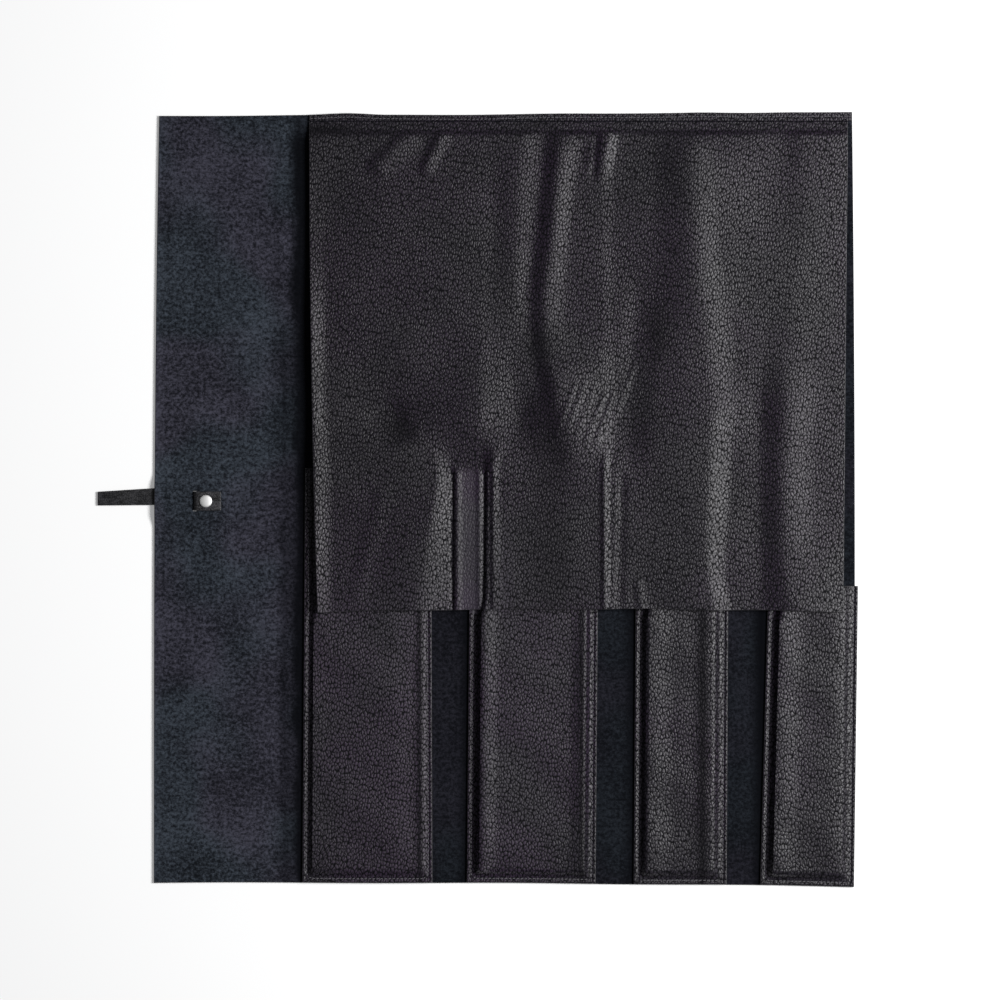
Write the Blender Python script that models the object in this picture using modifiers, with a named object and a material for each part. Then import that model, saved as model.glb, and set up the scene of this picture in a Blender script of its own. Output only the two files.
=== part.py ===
"""Leather knife roll, opened flat: a suede-faced base, four sewn pockets, a cover flap and a riveted strap.

The roll lies face up. X runs across it from the strap to the last pocket, Y runs from the pocket bottoms to
the flap's seam, and the origin is the middle of its footprint on the table. The base folds between the
pockets, so the base, the flap and the flap's hem are each cut into one section for each pocket, hinged to
each other.
"""

import math
from collections import namedtuple

import bmesh
import bpy
from mathutils import Matrix, Vector

MM = 0.001

# Sheet thicknesses and the gap that touching pieces keep
BASE_THICKNESS = 1.8 * MM
POCKET_THICKNESS = 1.3 * MM
FLAP_THICKNESS = 1.3 * MM
STRAP_THICKNESS = 1.8 * MM
GAP = 0.3 * MM

# Base sheet
BASE_HEIGHT_LEFT = 499.0 * MM
RIGHT_EXTRA_HEIGHT = 5.6 * MM
BASE_HEIGHT_RIGHT = BASE_HEIGHT_LEFT + RIGHT_EXTRA_HEIGHT
LEFT_EDGE_LEAN = 3.5 * MM
RIGHT_EDGE_BOW = 1.8 * MM
RIGHT_BOW_MIDDLE = -49.0 * MM
CLOSURE_WIDTH = 96.6 * MM
CLOSURE_FOLD_INSET = 5.0 * MM

# Pockets, from the strap side: widths and gaps at the bottom, and how far each side leans over by the mouth
POCKET_WIDTHS = (84.8 * MM, 83.9 * MM, 60.7 * MM, 61.2 * MM)
POCKET_GAPS = (22.2 * MM, 24.6 * MM, 21.6 * MM)
LEFT_LEANS = (1.9 * MM, 2.4 * MM, 1.9 * MM, 5.3 * MM)
RIGHT_LEANS = (-0.9 * MM, 2.2 * MM, 1.5 * MM, 2.6 * MM)
TALL_MOUTH_DROP = 231.9 * MM
SHORT_MOUTH_DROP = 308.6 * MM
POCKET_OVERHANG = 1.9 * MM
BOTTOM_INSET = 0.4 * MM
SEAM_MARGIN = 4.5 * MM
PUFF = 4.8 * MM
PUFF_RUN = 9.0 * MM
BOTTOM_RUN = 26.0 * MM
EDGE_ROLL = 0.5 * MM
ROLL_RUN = 14.0 * MM

# Cover flap and the hem that it is sewn down by
HEM_WIDTH = 6.3 * MM
HEM_END_INSET = 0.5 * MM
FLAP_DROP = 325.6 * MM
FLAP_EDGE_BOW = 2.0 * MM
FLAP_LEFT_INSET = 4.6 * MM
FLAP_LEFT_TAPER = 5.8 * MM
FLAP_RIGHT_INSET = 4.8 * MM
FLAP_RIGHT_TAPER = 3.3 * MM
FLAP_LIE = 2.0 * MM
CREASE_RUN = 22.0 * MM
SAG_REACH = 23.0 * MM
SAG_SHARE = 0.6
SETTLE_RUN = 58.0 * MM
RIDGE_RISE = 1.5 * MM
VALLEY_DROP = 1.3 * MM
BROAD_FOLD = 15.0 * MM
NARROW_FOLD = 9.0 * MM
FOLD_HEADROOM = 0.6 * MM

# Strap and its rivet
STRAP_Y = -1.1 * MM
STRAP_TAIL = 36.6 * MM
SLOT_FROM_EDGE = 26.7 * MM
TAB_LENGTH = 17.3 * MM
TAB_WIDTH = 12.5 * MM
STRAP_EDGE_WIDTH = 11.0 * MM
STRAP_TIP_WIDTH = 9.0 * MM
STRAP_DRIFT_AT_EDGE = 2.9 * MM
STRAP_DRIFT_AT_TIP = 1.6 * MM
STRAP_BEND = 1.3 * MM
STRAP_ROUND = 0.35 * MM
RIDGE_SLOPE = 9.0 * MM
RIDGE_ALLOWANCE = 1.0 * MM
RIVET_FROM_SLOT = 7.5 * MM
RIVET_RADIUS = 4.0 * MM
RIVET_RIM = 0.6 * MM
RIVET_DOME = 1.1 * MM
RIVET_BACK_THICKNESS = 0.8 * MM
RIVET_POST_RADIUS = 1.2 * MM
RIVET_BORE_DEPTH = 1.0 * MM
WRAP_GAP = 0.4 * MM
CUT_OVERRUN = 2.0 * MM

# How finely the curved sheets are divided
PUFF_STEPS = 5
PLATEAU_STEPS = 6
BOTTOM_STEPS = 4
LOWER_STEPS = 3
EDGE_STEPS = 4
COVERED_STEPS = 4
UPPER_STEPS = 20
GAP_STEPS = 3
SLOPE_STEPS = 3
ARC_STEPS = 5
TURN_STEPS = 28
DOME_STEPS = 5
SHARP_ANGLE = math.radians(35)
MERGE_DISTANCE = 0.01 * MM

# Finishes: colour, roughness, metallic
FINISHES = {
    "suede": ((0.024, 0.030, 0.042, 1.0), 0.95, 0.0),
    "pebbled": ((0.020, 0.023, 0.030, 1.0), 0.45, 0.0),
    "strap": ((0.018, 0.021, 0.028, 1.0), 0.40, 0.0),
    "nickel": ((0.78, 0.78, 0.77, 1.0), 0.25, 1.0),
}

# Places across the roll, worked out from the strap's tip
FOOTPRINT = STRAP_TAIL + CLOSURE_WIDTH + sum(POCKET_WIDTHS) + sum(POCKET_GAPS) + RIGHT_LEANS[-1]
TIP_X = -FOOTPRINT / 2
LEFT_X = TIP_X + STRAP_TAIL
RIGHT_X = FOOTPRINT / 2 - POCKET_OVERHANG
TOP_Y = BASE_HEIGHT_RIGHT / 2
CREASE_Y = TOP_Y - HEM_WIDTH
SLOT_X = LEFT_X + SLOT_FROM_EDGE
TAB_END_X = SLOT_X + TAB_LENGTH
RIVET_X = SLOT_X + RIVET_FROM_SLOT

# Heights above the table
BASE_TOP = BASE_THICKNESS
SEWN_Z = BASE_TOP + GAP
POCKET_TOP = SEWN_Z + PUFF + EDGE_ROLL + POCKET_THICKNESS
FLAP_CEILING = POCKET_TOP + GAP + FOLD_HEADROOM
STACK = FLAP_CEILING + FLAP_THICKNESS
STRAP_LIFT = STRAP_THICKNESS + GAP
TAB_Z = STRAP_LIFT + BASE_THICKNESS + GAP
RIVET_SEAT = TAB_Z + STRAP_THICKNESS + GAP
RIVET_TOP = RIVET_SEAT + RIVET_RIM + RIVET_DOME

# Fold axes: each fold turns one more layer of the roll over the layers inside it
FOLD_34_HEIGHT = STACK + WRAP_GAP / 2
FOLD_23_HEIGHT = (STACK + WRAP_GAP) / 2 + FOLD_34_HEIGHT
FOLD_12_HEIGHT = (STACK + WRAP_GAP) / 2 + FOLD_23_HEIGHT
CLOSURE_HEIGHT = (RIVET_TOP + WRAP_GAP) / 2 + FOLD_12_HEIGHT
FLAP_AXIS_HEIGHT = SEWN_Z + FLAP_THICKNESS + GAP / 2
STRAP_AXIS_HEIGHT = STRAP_THICKNESS + GAP

Pocket = namedtuple("Pocket", "left right mouth left_lean right_lean")
Fold = namedtuple("Fold", "start_share end_share half_width rise")

# Folds pressed into the flap: both ends as shares of its width and drop, from its upper left corner
FLAP_FOLDS = (
    Fold((0.02, 0.04), (0.17, 0.03), NARROW_FOLD, -VALLEY_DROP),
    Fold((0.10, 0.11), (0.25, 0.03), NARROW_FOLD, RIDGE_RISE),
    Fold((0.22, 0.15), (0.26, 0.03), NARROW_FOLD, RIDGE_RISE),
    Fold((0.43, 0.04), (0.41, 0.36), NARROW_FOLD, -VALLEY_DROP),
    Fold((0.385, 0.06), (0.375, 0.34), NARROW_FOLD, RIDGE_RISE),
    Fold((0.47, 0.05), (0.46, 0.32), NARROW_FOLD, RIDGE_RISE),
    Fold((0.14, 0.56), (0.18, 0.66), BROAD_FOLD, -VALLEY_DROP),
    Fold((0.33, 0.58), (0.30, 0.68), BROAD_FOLD, RIDGE_RISE),
    Fold((0.55, 0.52), (0.55, 0.98), NARROW_FOLD, RIDGE_RISE),
    Fold((0.54, 0.04), (0.55, 0.15), NARROW_FOLD, RIDGE_RISE),
    Fold((0.74, 0.06), (0.70, 0.42), BROAD_FOLD, RIDGE_RISE),
    Fold((0.75, 0.78), (0.75, 1.00), NARROW_FOLD, RIDGE_RISE),
    Fold((0.28, 0.74), (0.28, 1.00), NARROW_FOLD, RIDGE_RISE),
)


def ease(share):
    """Smooth step from 0 to 1."""
    share = min(max(share, 0.0), 1.0)
    return share * share * (3 - 2 * share)


def between(low, high, steps):
    """The places from low to high in even steps, with low and without high."""
    return [low + (high - low) * k / steps for k in range(steps)]


def top_y(x):
    """The base sheet's upper edge, which rises towards the last pocket."""
    share = (x - LEFT_X) / (RIGHT_X - LEFT_X)
    return (BASE_HEIGHT_LEFT + RIGHT_EXTRA_HEIGHT * share) / 2


def bottom_y(x):
    """The base sheet's lower edge, which drops towards the last pocket."""
    share = (x - LEFT_X) / (RIGHT_X - LEFT_X)
    return -(BASE_HEIGHT_LEFT + RIGHT_EXTRA_HEIGHT * share ** 3) / 2


def left_x(y):
    """The base sheet's left edge, which leans inwards towards the top."""
    return LEFT_X + LEFT_EDGE_LEAN * ((y + TOP_Y) / (2 * TOP_Y)) ** 3


def right_x(y):
    """The base sheet's right edge, which bows outwards."""
    return RIGHT_X - RIGHT_EDGE_BOW * ((y - RIGHT_BOW_MIDDLE) / (TOP_Y - RIGHT_BOW_MIDDLE)) ** 2


def make_pockets():
    """The four pockets' sides, mouths and leans, from the strap side."""
    pockets = []
    left = LEFT_X + CLOSURE_WIDTH
    drops = (TALL_MOUTH_DROP, TALL_MOUTH_DROP, TALL_MOUTH_DROP, SHORT_MOUTH_DROP)
    for width, gap, drop, *leans in zip(POCKET_WIDTHS, POCKET_GAPS + (0,), drops, LEFT_LEANS, RIGHT_LEANS):
        pockets.append(Pocket(left, left + width, TOP_Y - drop, *leans))
        left += width + gap
    return pockets


POCKETS = make_pockets()
CLOSURE_FOLD_X = POCKETS[0].left - CLOSURE_FOLD_INSET
FOLD_XS = [(a.right + b.left) / 2 for a, b in zip(POCKETS, POCKETS[1:])]
SECTION_EDGES = [CLOSURE_FOLD_X] + FOLD_XS + [RIGHT_X]
HEM_LEFT_X = POCKETS[0].left + FLAP_LEFT_INSET
HEM_RIGHT_X = right_x(TOP_Y) - HEM_END_INSET


def section_span(index):
    """A section's left and right sides, half a gap inside the fold lines beside it."""
    low, high = SECTION_EDGES[index], SECTION_EDGES[index + 1]
    last = index == len(POCKETS) - 1
    return low + GAP / 2, high - (0 if last else GAP / 2)


def lean_share(pocket, y):
    """How much of its lean a pocket has by this place: none at the bottom, all from the mouth on."""
    return min(max((y + TOP_Y) / (pocket.mouth + TOP_Y), 0.0), 1.0)


def leaned(index, x, y):
    """Where a place across a section's bottom stands further up, drawn sideways by its pocket's leans."""
    pocket = POCKETS[index]
    low, high = section_span(index)
    if x < pocket.left:
        shift = pocket.left_lean * (x - low) / (pocket.left - low)
    elif x > pocket.right:
        shift = pocket.right_lean * (high - x) / (high - pocket.right)
    else:
        across = (x - pocket.left) / (pocket.right - pocket.left)
        shift = pocket.left_lean + (pocket.right_lean - pocket.left_lean) * across
    return x + shift * lean_share(pocket, y)


def flap_left_x(y):
    """The flap's left edge, which narrows towards its lower edge."""
    share = (CREASE_Y - y) / FLAP_DROP
    return HEM_LEFT_X + FLAP_LEFT_TAPER * share * share


def flap_right_x(y):
    """The flap's right edge."""
    share = (CREASE_Y - y) / FLAP_DROP
    return RIGHT_X - FLAP_RIGHT_INSET - FLAP_RIGHT_TAPER * share


def flap_lower_y(x):
    """The flap's lower edge, drawn up a little in the middle."""
    middle, half = (HEM_LEFT_X + HEM_RIGHT_X) / 2, (HEM_RIGHT_X - HEM_LEFT_X) / 2
    return TOP_Y - FLAP_DROP + FLAP_EDGE_BOW * (1 - ((x - middle) / half) ** 2)


def puff_across(inset):
    """How far a pocket has risen at this distance inside its edge, as a share of its puff."""
    return ease((inset - SEAM_MARGIN) / PUFF_RUN)


def pocket_under(pocket, x, y):
    """Height of a pocket's inner face: flat along its sewn edges, puffed up between them."""
    share = lean_share(pocket, y)
    left = x - pocket.left - pocket.left_lean * share
    right = pocket.right + pocket.right_lean * share - x
    up = ease((y - bottom_y(x) - BOTTOM_INSET - SEAM_MARGIN) / BOTTOM_RUN)
    rise = PUFF * puff_across(left) * puff_across(right)
    for inset in (left, right):
        beyond = abs(inset - SEAM_MARGIN - PUFF_RUN)
        rise += EDGE_ROLL * ease(1 - beyond / ROLL_RUN) * puff_across(inset)
    return SEWN_Z + up * rise


def fold_height(x, y):
    """What the pressed-in folds add to the flap at this place."""
    total = 0.0
    width = HEM_RIGHT_X - HEM_LEFT_X
    for fold in FLAP_FOLDS:
        start = Vector((HEM_LEFT_X + width * fold.start_share[0], TOP_Y - FLAP_DROP * fold.start_share[1]))
        end = Vector((HEM_LEFT_X + width * fold.end_share[0], TOP_Y - FLAP_DROP * fold.end_share[1]))
        along = end - start
        share = (Vector((x, y)) - start).dot(along) / along.length_squared
        nearest = start + along * min(max(share, 0.0), 1.0)
        total += fold.rise * ease(1 - (Vector((x, y)) - nearest).length / fold.half_width)
    return total


def pocket_support(pocket, x, y):
    """How much of a pocket's height the flap keeps here: all of it over the pocket, less past its edges."""
    shoulder = SEAM_MARGIN + PUFF_RUN
    share = lean_share(pocket, y)
    left, right = pocket.left + pocket.left_lean * share, pocket.right + pocket.right_lean * share
    past = max(left + shoulder - x, x - right + shoulder, 0.0)
    return (1 - SAG_SHARE * ease(past / SAG_REACH)) * ease((pocket.mouth + SETTLE_RUN - y) / SETTLE_RUN)


def flap_under(x, y):
    """Height of the flap's inner face: sewn down at the crease, draped over the pockets."""
    below = CREASE_Y - y
    free = ease(below / CREASE_RUN)
    support = max(pocket_support(pocket, x, y) for pocket in POCKETS)
    lie = SEWN_Z + FLAP_LIE * free
    full = POCKET_TOP + GAP - SEWN_Z - FLAP_LIE
    height = lie + free * (full * support + fold_height(x, y))
    for pocket in POCKETS:
        share = lean_share(pocket, y)
        left, right = pocket.left + pocket.left_lean * share, pocket.right + pocket.right_lean * share
        if left - GAP <= x <= right + GAP and y <= pocket.mouth + GAP:
            height = max(height, pocket_under(pocket, x, y) + POCKET_THICKNESS + GAP)
    return min(height, FLAP_CEILING)


def pocket_columns(pocket):
    """The places across a pocket where its sheet is divided."""
    steps = [SEAM_MARGIN + PUFF_RUN * k / PUFF_STEPS for k in range(PUFF_STEPS + 1)]
    rising = [pocket.left] + [pocket.left + step for step in steps]
    falling = [pocket.right - step for step in reversed(steps)] + [pocket.right]
    return rising[:-1] + between(rising[-1], falling[0], PLATEAU_STEPS) + falling


def covered_rows():
    """The rows that the flap and the tall pockets share, from the flap's lower edge to the mouths."""
    lower, short, tall = TOP_Y - FLAP_DROP, POCKETS[-1].mouth, POCKETS[0].mouth
    return [lower] + between(short, tall, COVERED_STEPS) + [tall]


def pocket_rows(pocket, x):
    """The places up a pocket where its sheet is divided."""
    low = bottom_y(x) + BOTTOM_INSET
    first = low + SEAM_MARGIN
    last = first + BOTTOM_RUN
    covered = [row for row in covered_rows() if row <= pocket.mouth + GAP]
    return [low] + between(first, last, BOTTOM_STEPS) + between(last, covered[0], LOWER_STEPS) + covered


def finish(name):
    """The material of this name, made on first use."""
    if name in bpy.data.materials:
        return bpy.data.materials[name]
    colour, roughness, metallic = FINISHES[name]
    material = bpy.data.materials.new(name)
    material.use_nodes = True
    shader = material.node_tree.nodes["Principled BSDF"]
    shader.inputs["Base Color"].default_value = colour
    shader.inputs["Roughness"].default_value = roughness
    shader.inputs["Metallic"].default_value = metallic
    material.diffuse_color = colour
    return material


def add_object(name, mesh, collection, finish_name=None):
    """Put a mesh into the scene as one named piece."""
    piece = bpy.data.objects.new(name, mesh)
    collection.objects.link(piece)
    if finish_name:
        mesh.materials.append(finish(finish_name))
    return piece


def leather_sheet(name, columns, rows, place, thickness, collection, finish_name):
    """A sheet of leather: a grid laid where place(column, row) says, thickened straight up."""
    bm = bmesh.new()
    bmesh.ops.create_grid(bm, x_segments=columns, y_segments=rows, size=1)
    for vert in bm.verts:
        column = round((vert.co.x + 1) / 2 * columns)
        row = round((vert.co.y + 1) / 2 * rows)
        vert.co = place(column, row)
    bmesh.ops.triangulate(bm, faces=bm.faces[:], quad_method="FIXED")
    raised = bmesh.ops.extrude_face_region(bm, geom=bm.faces[:])["geom"]
    verts = [part for part in raised if isinstance(part, bmesh.types.BMVert)]
    bmesh.ops.translate(bm, verts=verts, vec=(0, 0, thickness))
    bmesh.ops.recalc_face_normals(bm, faces=bm.faces[:])
    mesh = bpy.data.meshes.new(name)
    bm.to_mesh(mesh)
    bm.free()
    mesh.shade_smooth()
    mesh.set_sharp_from_angle(angle=SHARP_ANGLE)
    return add_object(name, mesh, collection, finish_name)


def turned(name, profile, place, collection, finish_name):
    """A turned piece from a profile of (radius, height) points that runs down its outer side."""
    mesh = bpy.data.meshes.new(name)
    edges = [(k, k + 1) for k in range(len(profile) - 1)]
    mesh.from_pydata([(radius, 0, height) for radius, height in profile], edges, [])
    piece = add_object(name, mesh, collection, finish_name)
    piece.location = place
    screw = piece.modifiers.new("turn", "SCREW")
    screw.steps = screw.render_steps = TURN_STEPS
    screw.use_merge_vertices = True
    screw.merge_threshold = MERGE_DISTANCE
    screw.use_smooth_shade = True
    return piece


def cut(piece, cutter):
    """Take a cutter's shape out of a piece."""
    boolean = piece.modifiers.new(cutter.name, "BOOLEAN")
    boolean.operation = "DIFFERENCE"
    boolean.object = cutter


def as_cutter(name, mesh, place, collection):
    """A hidden shape that only cuts others."""
    cutter = add_object(name, mesh, collection)
    cutter.location = place
    cutter.hide_render = True
    cutter.display_type = "WIRE"
    return cutter


def post_cutter(collection):
    """The round hole that the rivet's post passes through."""
    height = RIVET_TOP + 2 * CUT_OVERRUN
    bm = bmesh.new()
    hole = {"radius1": RIVET_POST_RADIUS + GAP, "radius2": RIVET_POST_RADIUS + GAP, "depth": height}
    bmesh.ops.create_cone(bm, cap_ends=True, segments=TURN_STEPS, **hole)
    mesh = bpy.data.meshes.new("post_hole_cutter")
    bm.to_mesh(mesh)
    bm.free()
    return as_cutter("post_hole_cutter", mesh, (RIVET_X, STRAP_Y, RIVET_TOP / 2), collection)


def slot_cutter(collection):
    """The upright slot that the strap comes up through."""
    size = (STRAP_THICKNESS + 2 * GAP, TAB_WIDTH + 2 * GAP, STRAP_LIFT + BASE_THICKNESS + 2 * CUT_OVERRUN)
    bm = bmesh.new()
    bmesh.ops.create_cube(bm, size=1, matrix=Matrix.Diagonal((*size, 1)))
    mesh = bpy.data.meshes.new("slot_cutter")
    bm.to_mesh(mesh)
    bm.free()
    return as_cutter("slot_cutter", mesh, (SLOT_X, STRAP_Y, STRAP_LIFT + BASE_THICKNESS / 2), collection)


def strap_half_width(x):
    """Half the strap's width: full in the tab, tapering from the slot to the tip."""
    if x >= SLOT_X:
        return TAB_WIDTH / 2
    if x >= LEFT_X:
        return (STRAP_EDGE_WIDTH + (TAB_WIDTH - STRAP_EDGE_WIDTH) * (x - LEFT_X) / SLOT_FROM_EDGE) / 2
    return (STRAP_TIP_WIDTH + (STRAP_EDGE_WIDTH - STRAP_TIP_WIDTH) * (x - TIP_X) / STRAP_TAIL) / 2


def strap_middle_y(x):
    """The strap's centre line, which drifts off square between the slot and the tip."""
    if x >= LEFT_X:
        return STRAP_Y + STRAP_DRIFT_AT_EDGE * min(max((SLOT_X - x) / SLOT_FROM_EDGE, 0.0), 1.0)
    back = STRAP_DRIFT_AT_EDGE - STRAP_DRIFT_AT_TIP
    return STRAP_Y + STRAP_DRIFT_AT_TIP + back * (x - TIP_X) / STRAP_TAIL


def strap_piece(name, route, collection):
    """A length of strap that follows a route of (x, height) points along its middle."""
    bm = bmesh.new()
    rails = []
    for x, height in route:
        half, middle = strap_half_width(x), strap_middle_y(x)
        rails.append([bm.verts.new((x, middle + side * half, height)) for side in (-1, 1)])
    for (a, b), (c, d) in zip(rails, rails[1:]):
        bm.faces.new((a, b, d, c))
    mesh = bpy.data.meshes.new(name)
    bm.to_mesh(mesh)
    bm.free()
    piece = add_object(name, mesh, collection, "strap")
    wall = piece.modifiers.new("thickness", "SOLIDIFY")
    wall.thickness = STRAP_THICKNESS
    wall.offset = 0
    wall.use_even_offset = True
    rounding = piece.modifiers.new("rounded_edges", "BEVEL")
    rounding.width = STRAP_ROUND
    rounding.segments = 2
    rounding.limit_method = "ANGLE"
    rounding.angle_limit = math.radians(60)
    return piece


def anchor_route():
    """The strap from its tab, down through the slot and out under the base to its left edge."""
    above, below = TAB_Z + STRAP_THICKNESS / 2, STRAP_THICKNESS / 2
    quarter = [math.pi / 2 * k / ARC_STEPS for k in range(ARC_STEPS + 1)]
    route = [(TAB_END_X, above)]
    for turn in quarter:
        route.append((SLOT_X + STRAP_BEND * (1 - math.sin(turn)), above - STRAP_BEND * (1 - math.cos(turn))))
    for turn in quarter:
        route.append((SLOT_X - STRAP_BEND * (1 - math.cos(turn)), below + STRAP_BEND * (1 - math.sin(turn))))
    route.append((LEFT_X, below))
    return route


def strap_lift(x, y):
    """How far the base rides up over the strap and the back of the rivet."""
    flat_half = TAB_WIDTH / 2 + STRAP_DRIFT_AT_EDGE + RIDGE_ALLOWANCE
    across = ease(1 - (abs(y - STRAP_Y) - flat_half) / RIDGE_SLOPE)
    along = ease(1 - (x - TAB_END_X - RIDGE_ALLOWANCE) / RIDGE_SLOPE)
    return STRAP_LIFT * across * along


def build_closure(pieces, cutters):
    """The bare suede end of the base, with its slot, the strap's inner end and the rivet."""
    flat_half = TAB_WIDTH / 2 + STRAP_DRIFT_AT_EDGE + RIDGE_ALLOWANCE
    slope = [RIDGE_SLOPE * k / SLOPE_STEPS for k in range(SLOPE_STEPS + 1)]
    columns = [LEFT_X, (LEFT_X + SLOT_X) / 2, SLOT_X]
    columns += [TAB_END_X + RIDGE_ALLOWANCE + step for step in slope] + [CLOSURE_FOLD_X - GAP / 2]
    rows = [STRAP_Y - flat_half - step for step in reversed(slope)]
    rows += [STRAP_Y + flat_half + step for step in slope]

    def place(column, row):
        low, high = bottom_y(columns[column]), top_y(columns[column])
        y = ([low] + rows[:-1] + between(rows[-1], high, EDGE_STEPS) + [high])[row]
        x = left_x(y) if column == 0 else columns[column]
        return x, y, strap_lift(columns[column], y)

    across, up = len(columns) - 1, len(rows) + EDGE_STEPS
    panel = leather_sheet("closure_panel", across, up, place, BASE_THICKNESS, pieces, "suede")
    hole = post_cutter(cutters)
    cut(panel, slot_cutter(cutters))
    cut(panel, hole)
    anchor = strap_piece("strap_anchor", anchor_route(), pieces)
    cut(anchor, hole)
    return [panel, anchor, build_rivet_cap(pieces), build_rivet_post(pieces)]


def build_rivet_cap(pieces):
    """The domed cap on the strap's tab, with the blind bore that takes the post."""
    turns = [math.pi / 2 * k / DOME_STEPS for k in range(DOME_STEPS + 1)]
    shoulder = RIVET_SEAT + RIVET_RIM
    profile = [(RIVET_RADIUS * math.sin(turn), shoulder + RIVET_DOME * math.cos(turn)) for turn in turns]
    bore = RIVET_POST_RADIUS + GAP
    roof = RIVET_SEAT + RIVET_BORE_DEPTH
    profile += [(RIVET_RADIUS, RIVET_SEAT), (bore, RIVET_SEAT), (bore, roof), (0, roof)]
    return turned("rivet_cap", profile, (RIVET_X, STRAP_Y, 0), pieces, "nickel")


def build_rivet_post(pieces):
    """The rivet's back disc under the base, with the post that rises into the cap."""
    seat = STRAP_LIFT - GAP
    top = RIVET_SEAT + RIVET_BORE_DEPTH - GAP
    profile = [(0, top), (RIVET_POST_RADIUS, top), (RIVET_POST_RADIUS, seat), (RIVET_RADIUS, seat)]
    profile += [(RIVET_RADIUS, seat - RIVET_BACK_THICKNESS), (0, seat - RIVET_BACK_THICKNESS)]
    return turned("rivet_post", profile, (RIVET_X, STRAP_Y, 0), pieces, "nickel")


def build_base_panel(index, pieces):
    """The section of the base sheet that carries one pocket."""
    low, high = section_span(index)
    columns = between(low, high, EDGE_STEPS) + [high]
    rows = 2 * EDGE_STEPS if index == len(POCKETS) - 1 else 1

    def place(column, row):
        x = columns[column]
        y = bottom_y(x) + (top_y(x) - bottom_y(x)) * row / rows
        last = index == len(POCKETS) - 1 and column == EDGE_STEPS
        return right_x(y) if last else x, y, 0

    name = f"base_panel_{index + 1}"
    return leather_sheet(name, EDGE_STEPS, rows, place, BASE_THICKNESS, pieces, "suede")


def build_pocket(index, pieces):
    """One pocket, sewn down along both sides and the bottom and open at its mouth."""
    pocket = POCKETS[index]
    columns = pocket_columns(pocket)

    def place(column, row):
        y = pocket_rows(pocket, columns[column])[row]
        x = leaned(index, columns[column], y)
        return x, y, pocket_under(pocket, x, y)

    name = f"pocket_{index + 1}"
    rows = len(pocket_rows(pocket, pocket.left)) - 1
    return leather_sheet(name, len(columns) - 1, rows, place, POCKET_THICKNESS, pieces, "pebbled")


def build_hem(index, pieces):
    """The strip of the flap that is sewn to the top edge of one base section."""
    low, high = section_span(index)
    sides = (max(low, HEM_LEFT_X), min(high, HEM_RIGHT_X))

    def place(column, row):
        x = sides[column]
        return x, (CREASE_Y + GAP / 2, top_y(x) - BOTTOM_INSET)[row], SEWN_Z

    return leather_sheet(f"flap_hem_{index + 1}", 1, 1, place, FLAP_THICKNESS, pieces, "pebbled")


def flap_rows():
    """The places up the flap where its sheet is divided, closer together near the crease."""
    covered = covered_rows()
    reach = CREASE_Y - GAP / 2 - covered[-1]
    shares = [math.sin(math.pi / 2 * k / UPPER_STEPS) for k in range(1, UPPER_STEPS + 1)]
    return covered + [covered[-1] + reach * share for share in shares]


def flap_columns(index):
    """The places across one flap section where its sheet is divided."""
    low, high = section_span(index)
    pocket = POCKETS[index]
    columns = pocket_columns(pocket)
    shoulder = SEAM_MARGIN + PUFF_RUN
    first, last = index == 0, index == len(POCKETS) - 1
    before = [low] if first else between(low, pocket.left, GAP_STEPS)
    after = [high] if last else between(high, pocket.right, GAP_STEPS)[::-1]
    if first:
        columns = [x for x in columns if x >= pocket.left + shoulder - GAP]
    if last:
        columns = [x for x in columns if x <= pocket.right - shoulder + GAP]
    return before + columns + after


def build_flap_panel(index, pieces):
    """The section of the cover flap that lies over one pocket."""
    columns, rows = flap_columns(index), flap_rows()
    first, last = index == 0, index == len(POCKETS) - 1

    def place(column, row):
        y = flap_lower_y(columns[column]) if row == 0 else rows[row]
        x = leaned(index, columns[column], y)
        if first and column == 0:
            x = flap_left_x(y)
        if last and column == len(columns) - 1:
            x = flap_right_x(y)
        return x, y, flap_under(x, y)

    name = f"flap_panel_{index + 1}"
    return leather_sheet(name, len(columns) - 1, len(rows) - 1, place, FLAP_THICKNESS, pieces, "pebbled")


def build_strap_tail(pieces):
    """The strap's free end beyond the base's left edge."""
    middle = STRAP_THICKNESS / 2
    return strap_piece("strap_tail", [(LEFT_X - GAP, middle), (TIP_X, middle)], pieces)


def add_axis(name, place, parent, collection):
    """An empty on a joint's axis, which carries the pieces that turn about it."""
    axis = bpy.data.objects.new(name, None)
    collection.objects.link(axis)
    hang(axis, parent)
    axis.location = place
    return axis


def hang(child, parent):
    """Parent a piece without moving it."""
    if parent:
        child.parent = parent
        bpy.context.view_layer.update()
        child.matrix_parent_inverse = parent.matrix_world.inverted()


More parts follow.
